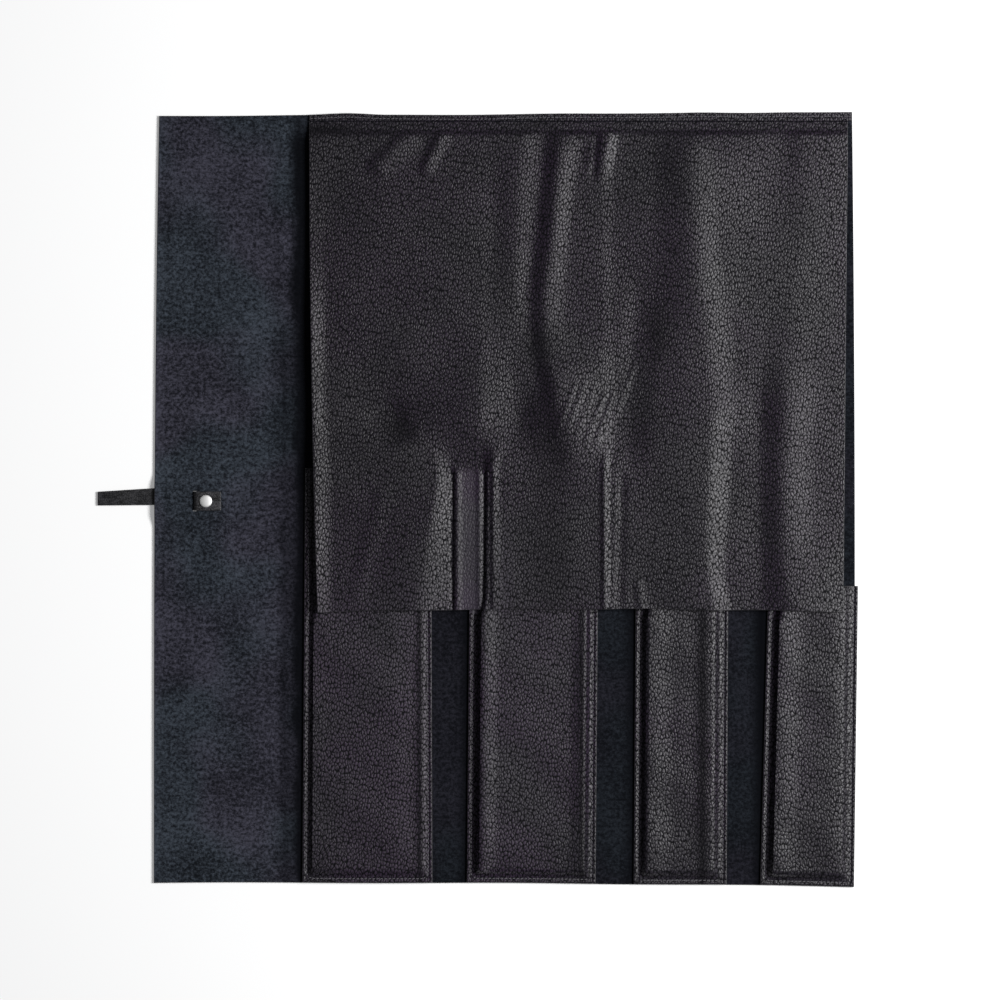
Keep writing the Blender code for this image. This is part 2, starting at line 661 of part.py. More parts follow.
def main():
    """Build every piece and hang it on the axis that it turns about."""
    for old in list(bpy.data.objects):
        bpy.data.objects.remove(old, do_unlink=True)
    pieces = bpy.data.collections.new("knife_roll")
    cutters = bpy.data.collections.new("cutters")
    for collection in (pieces, cutters):
        bpy.context.scene.collection.children.link(collection)

    heights = (FOLD_12_HEIGHT, FOLD_23_HEIGHT, FOLD_34_HEIGHT)
    flap_axis = add_axis("flap_lift_axis", (0, CREASE_Y, FLAP_AXIS_HEIGHT), None, pieces)
    base_axes, flap_axes = [None], [flap_axis]
    for number, (x, height) in enumerate(zip(FOLD_XS, heights), start=1):
        label = f"{number}{number + 1}"
        base_axes.append(add_axis(f"fold_{label}_axis", (x, 0, height), base_axes[-1], pieces))
        flap_axes.append(add_axis(f"flap_fold_{label}_axis", (x, 0, height), flap_axes[-1], pieces))
    closure_axis = add_axis("closure_fold_axis", (CLOSURE_FOLD_X, 0, CLOSURE_HEIGHT), None, pieces)
    strap_axis = add_axis("strap_swing_axis", (LEFT_X - GAP / 2, 0, STRAP_AXIS_HEIGHT), closure_axis, pieces)

    for index, (base_axis, lift_axis) in enumerate(zip(base_axes, flap_axes)):
        for build in (build_base_panel, build_pocket, build_hem):
            hang(build(index, pieces), base_axis)
        hang(build_flap_panel(index, pieces), lift_axis)
    for piece in build_closure(pieces, cutters):
        hang(piece, closure_axis)
    hang(build_strap_tail(pieces), strap_axis)
    bpy.context.view_layer.update()


main()
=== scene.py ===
"""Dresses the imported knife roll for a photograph: leather, seams, strap, rivet, floor, lamp and camera.

The roll lies face up. X runs from the strap to the last pocket, Y from the pocket bottoms to the flap's seam
and Z up. Sizes are in millimetres until a mesh is made, and the meshes are in metres. Every leather sheet is
a closed skin with an upper face, an under face and a burnished edge, and carries its flat cutting places as a
UV map, so that grain and nap follow the leather when it folds.
"""

from __future__ import annotations

import logging
import math
from collections.abc import Callable, Iterable
from dataclasses import dataclass, field
from enum import Enum
from functools import partial

import bmesh
import bpy
import numpy as np
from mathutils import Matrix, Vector


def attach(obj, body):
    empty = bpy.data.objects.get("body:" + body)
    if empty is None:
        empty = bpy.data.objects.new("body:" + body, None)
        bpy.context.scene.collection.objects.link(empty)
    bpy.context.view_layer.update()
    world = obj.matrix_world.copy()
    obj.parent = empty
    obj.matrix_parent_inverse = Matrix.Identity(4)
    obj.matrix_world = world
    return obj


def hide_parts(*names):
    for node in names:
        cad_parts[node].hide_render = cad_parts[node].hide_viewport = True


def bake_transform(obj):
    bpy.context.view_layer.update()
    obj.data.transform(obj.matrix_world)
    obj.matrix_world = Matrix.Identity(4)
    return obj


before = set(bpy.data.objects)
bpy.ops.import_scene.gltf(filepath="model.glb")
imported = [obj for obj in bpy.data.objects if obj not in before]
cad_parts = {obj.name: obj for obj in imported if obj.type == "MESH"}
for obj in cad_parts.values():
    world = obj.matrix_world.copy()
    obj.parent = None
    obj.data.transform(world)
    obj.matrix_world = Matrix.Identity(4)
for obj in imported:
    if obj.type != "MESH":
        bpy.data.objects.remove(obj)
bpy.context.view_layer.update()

LOG = logging.getLogger("knife_roll")
MM = 0.001
FLAT_MAP = "flat"
Array = np.ndarray
Colour = tuple[float, float, float]
Material = bpy.types.Material
Piece = bpy.types.Object
Point = tuple[float, float]
Socket = bpy.types.NodeSocket
Sockets = dict[int | str, object]


def ease(share: Array | float) -> Array:
    """Smooth step from 0 to 1."""
    share = np.clip(share, 0.0, 1.0)
    return share * share * (3 - 2 * share)


def bell(distance: Array) -> Array:
    """A rounded bump: 1 at distance 0, falling smoothly to 0 at distance 1."""
    return ease(1 - np.abs(distance))


def through(marks: Array, heights: Array, at: Array) -> Array:
    """A smooth curve through points that never overshoots them.

    Args:
        marks: the points' places, in order.
        heights: their heights.
        at: where the curve is read.

    Returns:
        The curve's height at each place.
    """
    steps = np.diff(marks)
    rises = np.diff(heights) / steps
    product, total = rises[:-1] * rises[1:], rises[:-1] + rises[1:]
    middle = np.where(product > 0, 2 * product / np.where(product > 0, total, 1), 0)
    slopes = np.concatenate([rises[:1], middle, rises[-1:]])
    at = np.clip(at, marks[0], marks[-1])
    k = np.clip(np.searchsorted(marks, at) - 1, 0, len(marks) - 2)
    t = (at - marks[k]) / steps[k]
    bend = ease(t)
    curve = heights[k] * (1 - bend) + heights[k + 1] * bend
    return curve + steps[k] * t * (1 - t) * (slopes[k] * (1 - t) - slopes[k + 1] * t)


# ---- Node trees


class Value:
    """A shader socket that takes part in sums, products and powers."""

    def __init__(self, graph: Graph, socket: Socket) -> None:
        """Wrap one output socket of a graph's node."""
        self.graph, self.socket = graph, socket

    def _math(self, operation: str, first: Value | float, second: Value | float = 0.0) -> Value:
        """A Math node's result."""
        return self.graph.value("ShaderNodeMath", {0: first, 1: second}, operation=operation)

    def __add__(self, other: Value | float) -> Value:
        """Sum."""
        return self._math("ADD", self, other)

    __radd__ = __add__

    def __sub__(self, other: Value | float) -> Value:
        """Difference."""
        return self._math("SUBTRACT", self, other)

    def __rsub__(self, other: float) -> Value:
        """Difference from a number."""
        return self._math("SUBTRACT", other, self)

    def __mul__(self, other: Value | float) -> Value:
        """Product."""
        return self._math("MULTIPLY", self, other)

    __rmul__ = __mul__

    def __pow__(self, other: float) -> Value:
        """Power."""
        return self._math("POWER", self, other)

    def __abs__(self) -> Value:
        """Size without its sign."""
        return self._math("ABSOLUTE", self)


class Nodes:
    """A node tree, with the one method that adds nodes to it."""

    def __init__(self, tree: bpy.types.NodeTree) -> None:
        """Take the tree."""
        self.tree = tree

    def node(self, kind: str, sockets: Sockets | None = None, **settings: object) -> bpy.types.Node:
        """Add a node.

        Args:
            kind: the node's type.
            sockets: a value, a Value or an output socket for each named or numbered input.
            **settings: its properties, set before its sockets.

        Returns:
            The node.
        """
        node = self.tree.nodes.new(kind)
        for key, setting in settings.items():
            setattr(node, key, setting)
        for key, given in (sockets or {}).items():
            given = given.socket if isinstance(given, Value) else given
            if isinstance(given, Socket):
                self.tree.links.new(given, node.inputs[key])
            else:
                node.inputs[key].default_value = given
        return node

    def output(self, kind: str, sockets: Sockets | None = None, which: int | str = 0,
               **settings: object) -> Socket:
        """One output of a new node."""
        return self.node(kind, sockets, **settings).outputs[which]


class Graph(Nodes):
    """One material's nodes."""

    def __init__(self, name: str) -> None:
        """Make a material with an empty tree.

        Args:
            name: the material's name.
        """
        self.material = bpy.data.materials.new(name)
        self.material.use_nodes = True
        super().__init__(self.material.node_tree)
        self.tree.nodes.clear()

    def value(self, kind: str, sockets: Sockets, which: int | str = 0, **settings: object) -> Value:
        """One output of a new node, as a value."""
        return Value(self, self.output(kind, sockets, which, **settings))

    def vector(self, operation: str, *terms: object) -> Socket:
        """A Vector Math node's result."""
        return self.output("ShaderNodeVectorMath", dict(enumerate(terms)), operation=operation)

    def places(self) -> Socket:
        """The leather's flat cutting places, in metres."""
        return self.output("ShaderNodeUVMap", uv_map=FLAT_MAP)

    def solid_places(self) -> Socket:
        """The piece's own places in space, in metres."""
        return self.output("ShaderNodeTexCoord", which="Object")

    def along(self, places: Socket) -> tuple[Value, Value]:
        """A place's X and Y, in millimetres."""
        split = self.node("ShaderNodeSeparateXYZ", {0: places}).outputs
        return Value(self, split["X"]) * (1 / MM), Value(self, split["Y"]) * (1 / MM)

    def noise(self, places: Socket, scale: float, detail: float = 3.0, roughness: float = 0.55) -> Value:
        """Soft noise from 0 to 1, with its features per metre, its finer layers and how strong they are."""
        sockets = {"Vector": places, "Scale": scale, "Detail": detail, "Roughness": roughness}
        return self.value("ShaderNodeTexNoise", sockets)

    def streaks(self, places: Socket, stretch: Colour, scale: float, detail: float = 2.0) -> Value:
        """Noise whose features are drawn closer together along each axis by the stretch."""
        return self.noise(self.vector("MULTIPLY", places, stretch), scale, detail, 0.6)

    def warped(self, places: Socket, scale: float, reach: float) -> Socket:
        """Places pushed about by up to half the reach, by noise with the scale's features per metre."""
        noise = self.output("ShaderNodeTexNoise", {"Vector": places, "Scale": scale, "Detail": 2.0}, "Color")
        return self.vector("MULTIPLY_ADD", self.vector("SUBTRACT", noise, (0.5,) * 3), (reach,) * 3, places)

    def cells(self, places: Socket, scale: float, feature: str) -> Value:
        """A pattern of cells.

        Args:
            places: where it is read.
            scale: its cells per metre.
            feature: which distance it gives.

        Returns:
            The distance, in cells.
        """
        sockets = {"Vector": places, "Scale": scale, "Randomness": 1.0}
        settings = {"voronoi_dimensions": "2D", "feature": feature}
        return self.value("ShaderNodeTexVoronoi", sockets, "Distance", **settings)

    def ranged(self, value: Value, low: float, high: float, to_low: float = 0, to_high: float = 1) -> Value:
        """A value carried smoothly from one range to another and held at its ends."""
        sockets = {"Value": value, "From Min": low, "From Max": high, "To Min": to_low, "To Max": to_high}
        return self.value("ShaderNodeMapRange", sockets, interpolation_type="SMOOTHSTEP")

    def pulse(self, value: Value, centre: float, reach: float) -> Value:
        """1 where a value is at the centre, falling smoothly to 0 at the reach on both sides."""
        return self.ranged(abs(value - centre), 0.0, reach, 1.0, 0.0)

    def mixed(self, share: Value | Socket, first: Colour, second: Colour | Socket) -> Socket:
        """A colour between two colours: the first where the share is 0 and the second where it is 1."""
        second = second if isinstance(second, Socket) else (*second, 1)
        return self.output("ShaderNodeMix", {0: share, 6: (*first, 1), 7: second}, 2, data_type="RGBA")

    def bump(self, height: Value, depth: float) -> Socket:
        """A relief as a normal, where a height of 1 stands the depth above 0, in metres."""
        return self.output("ShaderNodeBump", {"Strength": 1.0, "Distance": depth, "Height": height})

    def surface(self, sockets: Sockets) -> Socket:
        """A surface with its inputs."""
        return self.output("ShaderNodeBsdfPrincipled", sockets)

    def finished(self, surface: Socket) -> Material:
        """The material, with its surface."""
        self.node("ShaderNodeOutputMaterial", {"Surface": surface})
        return self.material


# ---- Finishes


@dataclass(frozen=True)
class Streak:
    """An upright mark on flat leather: its middle X, its reach, where it fades out upwards, its strength."""

    x: float
    reach: float
    fade: Point
    strength: float = 1.0

    def mask(self, graph: Graph, x: Value, y: Value) -> Value:
        """How strongly the mark shows."""
        return graph.pulse(x, self.x, self.reach) * graph.ranged(y, *self.fade, self.strength, 0.0)


@dataclass(frozen=True)
class Spot:
    """A rounded mark on flat leather: its middle and its reach along X and Y."""

    middle: Point
    reach: Point

    def mask(self, graph: Graph, x: Value, y: Value) -> Value:
        """How strongly the mark shows."""
        return graph.pulse(x, self.middle[0], self.reach[0]) * graph.pulse(y, self.middle[1], self.reach[1])


@dataclass(frozen=True)
class PebbledLeather:
    """Semi-gloss drummed leather with rounded pebbles and uneven dark grooves, pressed flat along one strip,
    with highlights and shade painted on in places.
    """

    deep: Colour = (0.0020, 0.0018, 0.0030)
    raised: Colour = (0.0318, 0.0178, 0.0402)
    grey: Colour = (0.0270, 0.0212, 0.0335)
    pebbles: float = 470.0
    slant: float = 0.20
    relief: float = 0.155 * MM
    name: str = "pebbled_leather"
    # The strength of the pressing and of the painted highlights and shade; 0 on the outside leather.
    worn: float = 1.0
    flap_from: Point = (-74.5, -73.5)
    # Where the flap is pressed into the first gap: its grain pressed flat, and painted paler there as a
    # painted highlight.
    strip: Streak = Streak(-5.4, 10.5, (17, 23))
    # Painted highlights: a wedge on the flap and the right side of the first pocket.
    flap_highlight: Streak = Streak(17.5, 8.5, (-50, 15), 2.2)
    pocket_highlight: Streak = Streak(-49.0, 12.0, (-78, -72), 0.8)
    # Painted shade: a patch on the flap, the pockets' right feet, and spots where the flap's folds turn from
    # the lamp.
    flap_shade: Streak = Streak(47.0, 24.0, (30, 75), 0.5)
    foot_shades: tuple[Streak, ...] = tuple(
        Streak(x, reach, (-74, -68)) for x, reach in ((-37.6, 3.2), (67.5, 3.6), (146.0, 5.0)))
    shade_spots: tuple[Spot, ...] = (
        Spot((-52, 46), (17, 14)), Spot((118, 108), (15, 30)), Spot((40, 100), (15, 20)))

    def pressing_and_painted_light(self, graph: Graph, places: Socket) -> tuple[Value, Value, Value]:
        """Where the leather is pressed flat and where highlights and shade are painted on it; nowhere on the
        finish that has none of them.

        Args:
            graph: the material's nodes.
            places: the flat cutting places.

        Returns:
            How far each place is pressed flat, how strongly a highlight is painted on it, and how strongly
            shade is painted on it, which also dulls its gloss.
        """
        x, y = graph.along(places)
        on_flap = graph.ranged(y, *self.flap_from) * self.worn
        pressed = graph.pulse(x, self.strip.x, self.strip.reach) ** 0.5
        pressed = pressed * graph.ranged(y, *self.strip.fade, 1.0, 0.0) * on_flap
        # Painted highlights: the lower parts of the first two pockets, the first pocket's right side, the
        # flap's wedge and the pressed strip are painted paler.
        low_left_highlight = graph.ranged(x, 20, 110, 1.0, 0.0) * graph.ranged(y, -75, -10, 1.3, 0.0)
        painted_highlight = (low_left_highlight + self.pocket_highlight.mask(graph, x, y)) * self.worn
        painted_highlight = painted_highlight + self.flap_highlight.mask(graph, x, y) * on_flap + pressed * 1.2
        # Painted shade: under the hem at the left, in spots on the flap, over a patch of it and a little all
        # over it, and at the pockets' right feet; it also dulls the gloss.
        by_hem = graph.ranged(x, -98, -62, 0.9, 0.0) * graph.pulse(y, 240.5, 5.5)
        shade_spots = sum(spot.mask(graph, x, y) for spot in self.shade_spots)
        painted_shade = (self.flap_shade.mask(graph, x, y) + by_hem + shade_spots * 0.7 + 0.10) * on_flap
        return pressed, painted_highlight, painted_shade + sum(foot.mask(graph, x, y) for foot in self.foot_shades) * self.worn

    def material(self) -> Material:
        """The finish as a material.

        Returns:
            The material: a gloss coat on the pebbles over matt grooves.
        """
        graph = Graph(self.name)
        places = graph.places()
        pressed, painted_highlight, painted_shade = self.pressing_and_painted_light(graph, places)
        turned = graph.output("ShaderNodeMapping", {"Vector": places, "Rotation": (0, 0, self.slant)})
        pushed = graph.vector("MULTIPLY", graph.warped(turned, 230, 2.2 * MM), (1.16, 0.78, 1.0))
        centre = graph.cells(pushed, self.pebbles, "F1")
        dome = graph.ranged(graph.cells(pushed, self.pebbles, "DISTANCE_TO_EDGE"), 0.0, 0.40)
        streak = graph.ranged(graph.streaks(turned, (2.0, 0.8, 1.0), 560), 0.36, 0.60, 1.0, 0.0)
        # The grooves and pits are painted dark and matt: partly the leather's own darker grooves, partly
        # painted shade in them.
        groove = (1 - dome) * (0.38 + streak * 0.28) + graph.ranged(centre, 0.34, 0.84) * 0.32 + streak * 0.22
        groove = groove * (1 - pressed * 0.6)
        fine, patches = graph.noise(places, 1300, 2), graph.noise(places, 26, 2)
        normal = graph.bump(dome * 0.5 - centre * 0.4 - streak * 0.35 + fine * 0.16, self.relief)
        # The painted highlight lightens the colour here and the painted shade darkens it.
        share = (0.86 - groove * 0.8 + (patches - 0.5) * 0.4) * (0.74 + painted_highlight * 0.26 - painted_shade * 0.25)
        tint = graph.mixed(graph.ranged(graph.noise(places, 11, 2), 0.42, 0.60), self.raised, self.grey)
        rough = graph.ranged(patches, 0.35, 0.65, 0.39, 0.43) + painted_highlight * 0.06
        shine = graph.ranged(groove + fine * 0.2, 0.16, 1.06, 0.95, 0.0) * (1 - painted_shade * 0.6)
        matt = graph.surface({"Base Color": (*self.deep, 1), "Roughness": 0.75, "Specular IOR Level": 0.10,
                              "Normal": normal})
        gloss = graph.surface({"Base Color": graph.mixed(share, self.deep, tint), "Roughness": rough,
                               "Normal": normal})
        return graph.finished(graph.output("ShaderNodeMixShader", {0: shine, 1: matt, 2: gloss}))


@dataclass(frozen=True)
class Suede:
    """Matt napped flesh side, finely mottled, with shade painted beside and between the pockets, along a
    crease and as shadows in the gaps.
    """

    dark: Colour = (0.0012, 0.0015, 0.0028)
    warm: Colour = (0.0645, 0.0636, 0.0880)
    cool: Colour = (0.0550, 0.0670, 0.0860)
    # Tone kept under the painted shade beside the flap and the first pocket and between the pockets, and tone
    # added back by the hem.
    beside: float = 0.04
    between: float = 0.23
    by_hem: float = 0.35
    rim: float = 0.15
    sheen: float = 0.02
    # Painted shade along the crease, and painted shadows at the gaps' right sides.
    crease: Streak = Streak(-126.0, 6.5, (100, 130), 0.55)
    shadows: tuple[float, ...] = (-5.0, 103.0, 185.0)
    shadow_reach: float = 11.0

    def painted_shading(self, graph: Graph, places: Socket) -> tuple[Value, Value]:
        """How far shade is painted onto the nap.

        Args:
            graph: the material's nodes.
            places: the flat cutting places.

        Returns:
            The share of its tone that each place keeps, and the paler rim by the left edge.
        """
        x, y = graph.along(graph.warped(places, 45, 9 * MM))
        # Painted shade: darker beside the flap and the first pocket and between the pockets, less of it by
        # the hem, and along the crease.
        kept = graph.ranged(x, -127, -116, 1.0, self.beside) + graph.ranged(x, -112, -100, 0.0, self.between)
        kept = kept + graph.ranged(y, 232, 246, 0.0, self.by_hem) * graph.ranged(x, -135, -120)
        kept = kept * (1 - self.crease.mask(graph, x, y))
        flat_x, _ = graph.along(places)
        shadow = sum(graph.pulse(flat_x, middle, self.shadow_reach) for middle in self.shadows)
        return kept * (1 - shadow), graph.ranged(x, -209, -203, self.rim, 0.0)

    def material(self) -> Material:
        """The finish as a material.

        Returns:
            The material.
        """
        graph = Graph("suede")
        places = graph.places()
        pushed = graph.warped(places, 60, 4 * MM)
        clouds = graph.noise(pushed, 30, 2, 0.5)
        strokes = graph.streaks(pushed, (0.6, 1.0, 1.0), 360)
        nap = graph.noise(places, 520, 3, 0.75)
        tone = graph.ranged(clouds * 0.18 + strokes * 0.24 + nap * 0.58, 0.36, 0.64) ** 1.4 * 0.90 + 0.08
        kept, rim = self.painted_shading(graph, places)
        light = graph.mixed(graph.ranged(graph.noise(pushed, 13, 1), 0.42, 0.60), self.warm, self.cool)
        return graph.finished(graph.surface({
            "Base Color": graph.mixed(tone * kept + rim, self.dark, light), "Roughness": 0.95,
            "Specular IOR Level": 0.08, "Sheen Weight": self.sheen, "Sheen Roughness": 0.5,
            "Normal": graph.bump(strokes * 0.4 + nap * 0.6, 0.45 * MM),
        }))


@dataclass(frozen=True)
class BurnishedEdge:
    """A cut leather edge, sealed and rubbed."""

    dark: Colour = (0.010, 0.010, 0.012)
    light: Colour = (0.042, 0.040, 0.044)

    def material(self) -> Material:
        """The finish as a material.

        Returns:
            The material.
        """
        graph = Graph("burnished_edge")
        fibres = graph.streaks(graph.solid_places(), (1.0, 1.0, 4.0), 700, 3)
        return graph.finished(graph.surface({
            "Base Color": graph.mixed(fibres, self.dark, self.light),
            "Roughness": graph.ranged(fibres, 0.3, 0.7, 0.42, 0.62),
            "Normal": graph.bump(fibres, 0.08 * MM),
        }))


@dataclass(frozen=True)
class StrapLeather:
    """Smooth, lightly waxed strap leather with fine creases, paler on its riveted tab."""

    dark: Colour = (0.003, 0.003, 0.004)
    light: Colour = (0.042, 0.041, 0.047)
    tab_length: Point = (13, 19)
    beyond_tab: float = 0.45

    def material(self) -> Material:
        """The finish as a material.

        Returns:
            The material.
        """
        graph = Graph("strap_leather")
        places = graph.places()
        pores = graph.cells(graph.warped(places, 300, 0.6 * MM), 1100, "F1")
        scuffs = graph.streaks(places, (0.3, 1.0, 1.0), 900, 3)
        tone = graph.ranged(graph.noise(places, 140, 3) * 0.6 + scuffs * 0.4, 0.4, 0.6)
        tone = tone * graph.ranged(graph.along(places)[0], *self.tab_length, 1.0, self.beyond_tab)
        return graph.finished(graph.surface({
            "Base Color": graph.mixed(tone, self.dark, self.light),
            "Roughness": graph.ranged(scuffs, 0.35, 0.65, 0.34, 0.58),
            "Normal": graph.bump(pores * 0.5 + scuffs * 0.6, 0.30 * MM),
        }))


@dataclass(frozen=True)
class WaxedThread:
    """Waxed sewing thread, twisted from fine strands."""

    dark: Colour = (0.050, 0.048, 0.056)
    light: Colour = (0.150, 0.145, 0.160)
    strands: float = 2600.0

    def material(self) -> Material:
        """The finish as a material.

        Returns:
            The material.
        """
        graph = Graph("waxed_thread")
        places = graph.solid_places()
        sockets = {"Vector": places, "Scale": self.strands, "Distortion": 1.0}
        strand = graph.value("ShaderNodeTexWave", sockets, "Fac", bands_direction="DIAGONAL")
        return graph.finished(graph.surface({
            "Base Color": graph.mixed(strand * 0.6 + graph.noise(places, 500) * 0.4, self.dark, self.light),
            "Roughness": 0.5, "Normal": graph.bump(strand, 0.05 * MM),
        }))


@dataclass(frozen=True)
class Nickel:
    """Polished nickel plate with a little handling haze."""

    colour: Colour = (0.96, 0.96, 0.95)
    worn: Colour = (0.86, 0.86, 0.85)

    def material(self) -> Material:
        """The finish as a material.

        Returns:
            The material.
        """
        graph = Graph("nickel")
        haze = graph.noise(graph.solid_places(), 900, 4, 0.6)
        return graph.finished(graph.surface({
            "Base Color": graph.mixed(graph.ranged(haze, 0.45, 0.8), self.colour, self.worn), "Metallic": 1.0,
            "Roughness": graph.ranged(haze, 0.3, 0.7, 0.56, 0.62), "Normal": graph.bump(haze, 0.02 * MM),
        }))


def finish(kind: type, **changes: object) -> Material:
    """A field that makes a finish's material."""
    return field(default_factory=lambda: kind(**changes).material())


@dataclass
class Finishes:
    """Every material of the roll, made once."""

    pebbled: Material = finish(PebbledLeather)
    outside: Material = finish(PebbledLeather, name="outside_leather", worn=0.0)
    suede: Material = finish(Suede)
    edge: Material = finish(BurnishedEdge)
    strap: Material = finish(StrapLeather)
    thread: Material = finish(WaxedThread)
    nickel: Material = finish(Nickel)

    @property
    def base_skin(self) -> tuple[Material, Material, Material]:
        """The base's upper face, under face and edge."""
        return self.suede, self.outside, self.edge

    @property
    def cover_skin(self) -> tuple[Material, Material, Material]:
        """The upper face, under face and edge of the pockets, the flap and its hem."""
        return self.pebbled, self.suede, self.edge


# ---- The roll's plan


@dataclass(frozen=True)
class Shoulder:
    """How a pocket rises from one of its side seams: steeply, then gently, with a crest if it has one."""

    steep_share: float
    steep_run: float
    gentle_run: float
    crest: float = 0.0
    crest_fall: float = 22.0
    crest_width: float = 1.0

    def rise(self, inset: Array) -> Array:
        """The share of the pocket's full height at a distance past the seam."""
        steep = ease(inset / self.steep_run)
        return self.steep_share * steep + (1 - self.steep_share) * ease(inset / self.gentle_run)

    def crested(self, inset: Array) -> Array:
        """What the crest adds at a distance past the seam."""
        fall = ease(1 - (inset - self.steep_run - self.crest_width) / self.crest_fall)
        return self.crest * ease(inset / self.steep_run) * fall


@dataclass(frozen=True)
class Pocket:
    """A pocket's sides at its bottom, its mouth, its sides' leans, its fullness and its shoulders."""

    left: float
    right: float
    mouth: float
    left_lean: float
    right_lean: float
    fullness: float
    shoulders: tuple[Shoulder, Shoulder]

    def share(self, y: Array) -> Array:
        """How much of its lean the pocket has at y."""
        return np.clip((y + TOP) / (self.mouth + TOP), 0.0, 1.0)

    def left_x(self, y: Array) -> Array:
        """The left side at y."""
        return self.left + self.left_lean * self.share(y)

    def right_x(self, y: Array) -> Array:
        """The right side at y."""
        return self.right + self.right_lean * self.share(y)

    @property
    def width(self) -> float:
        """The pocket's width at its bottom."""
        return self.right - self.left

    @property
    def middle(self) -> float:
        """The middle of the pocket's bottom."""
        return (self.left + self.right) / 2


TOP = 252.3
LEFT = -210.8
RIGHT = 245.5
LEFT_HEIGHT = 499.0
RIGHT_HEIGHT = 504.6
CREASE = 246.0
FLAP_LEFT = -109.6
FLAP_RIGHT = 243.2
FLAP_BOTTOM = -73.3
FLAP_LEAN_RUN = 325.6
BASE_THICKNESS = 1.8
SKIN_THICKNESS = 1.3
SEWN = 2.1
CLEARANCE = 0.3
THREAD_LIFT = 0.06
POCKET_TOP = 8.7
POCKET_INSET = 0.4
POCKETS = (
    Pocket(-114.2, -29.4, 20.4, 1.9, -0.9, 0.54,
           (Shoulder(1.0, 2.2, 22.0), Shoulder(0.5, 1.8, 22.0, 0.3, 5.0))),
    Pocket(-7.2, 76.7, 20.4, 2.4, 2.2, 0.92,
           (Shoulder(1.0, 4.2, 8.0, 1.5, 11.0), Shoulder(1.0, 3.6, 16.0, 0.9, 9.0))),
    Pocket(101.3, 162.0, 20.4, 1.9, 1.5, 0.72,
           (Shoulder(1.0, 3.4, 8.0, 1.3, 17.0), Shoulder(0.9, 5.2, 14.0, 0.9, 13.0))),
    Pocket(183.6, 244.8, -56.3, 5.3, 2.6, 0.74,
           (Shoulder(1.0, 3.6, 8.0, 1.4, 16.0), Shoulder(0.8, 5.0, 13.0, 0.3))),
)
FOLD_SPANS = ((-29.0, -7.6), (79.3, 100.9), (166.6, 179.0))
CLOSURE_SPAN = (-115.0, -150.0)
STRAP_Y = -1.1
SLOT_X = -184.1
TAB_END = -166.8


def across(x: Array) -> Array:
    """How far across the base sheet x is, as a share."""
    return (x - LEFT) / (RIGHT - LEFT)


def top_wave(x: Array) -> Array:
    """The upper edge's slight waves, as the sewn leather has drawn it."""
    dips = 0.75 * bell((x - 8) / 60) + 0.7 * bell((x - 176) / 34)
    return 0.85 * bell((x + 84) / 26) - dips + 0.3 * np.sin(x / 21)


def base_top(x: Array) -> Array:
    """The base sheet's upper edge at x."""
    return (LEFT_HEIGHT + (RIGHT_HEIGHT - LEFT_HEIGHT) * across(x)) / 2 + top_wave(x) * 0.6


def base_bottom(x: Array) -> Array:
    """The base sheet's lower edge at x."""
    return -(LEFT_HEIGHT + (RIGHT_HEIGHT - LEFT_HEIGHT) * across(x) ** 3) / 2 + 0.25 * np.sin(x / 27 + 1)


def base_left(y: Array) -> Array:
    """The base sheet's left edge at y."""
    return LEFT + 3.5 * np.clip((y + TOP) / (2 * TOP), 0, 1) ** 3


def base_right(y: Array) -> Array:
    """The base sheet's right edge at y."""
    return RIGHT - 1.8 * ((y + 49) / (TOP + 49)) ** 2


def pocket_bottom(x: Array) -> Array:
    """The pockets' lower edge at x."""
    return base_bottom(x) + POCKET_INSET


def flap_left(y: Array) -> Array:
    """The flap's left edge at y."""
    return FLAP_LEFT + 5.8 * ((CREASE - y) / FLAP_LEAN_RUN) ** 2


def flap_right(y: Array) -> Array:
    """The flap's right edge at y."""
    return RIGHT - 4.8 - 3.3 * (CREASE - y) / FLAP_LEAN_RUN


def flap_bottom(x: Array) -> Array:
    """The flap's lower edge at x."""
    middle, half = (FLAP_LEFT + FLAP_RIGHT) / 2, (FLAP_RIGHT - FLAP_LEFT) / 2
    return FLAP_BOTTOM + 2.0 * (1 - ((x - middle) / half) ** 2) + 0.35 * np.sin(x / 14)


def constant(value: float) -> Callable[[Array], Array]:
    """An edge that keeps one place all along."""
    return lambda along: np.full_like(along, value)


def level(x: Array, y: Array) -> Array:
    """An under face that lies flat on the table."""
    return np.zeros_like(x)


# ---- Sheets of leather


class Side(Enum):
    """How one side of a sheet ends: the radius that its edge is rounded to, in millimetres."""

    CUT = 0.42
    CREASE = 0.35
    SEAM = 0.0


Sides = tuple[Side, Side, Side, Side]
EDGE_STEPS = (0.0, 0.05, 0.16, 0.3, 0.45, 0.65, 1.0, 1.5, 2.0, 2.5, 3.0, 3.6, 4.4, 5.4, 6.6, 8.0)
LEAST_STEP = 0.02
EDGE_SHARE = 0.72


def piece_sides(number: int, count: int, lower: Side = Side.CUT, upper: Side = Side.CUT) -> Sides:
    """How one of a sheet's pieces ends on its left, right, lower and upper sides, with seams between them."""
    left = Side.CUT if number == 0 else Side.SEAM
    return left, Side.CUT if number == count - 1 else Side.SEAM, lower, upper


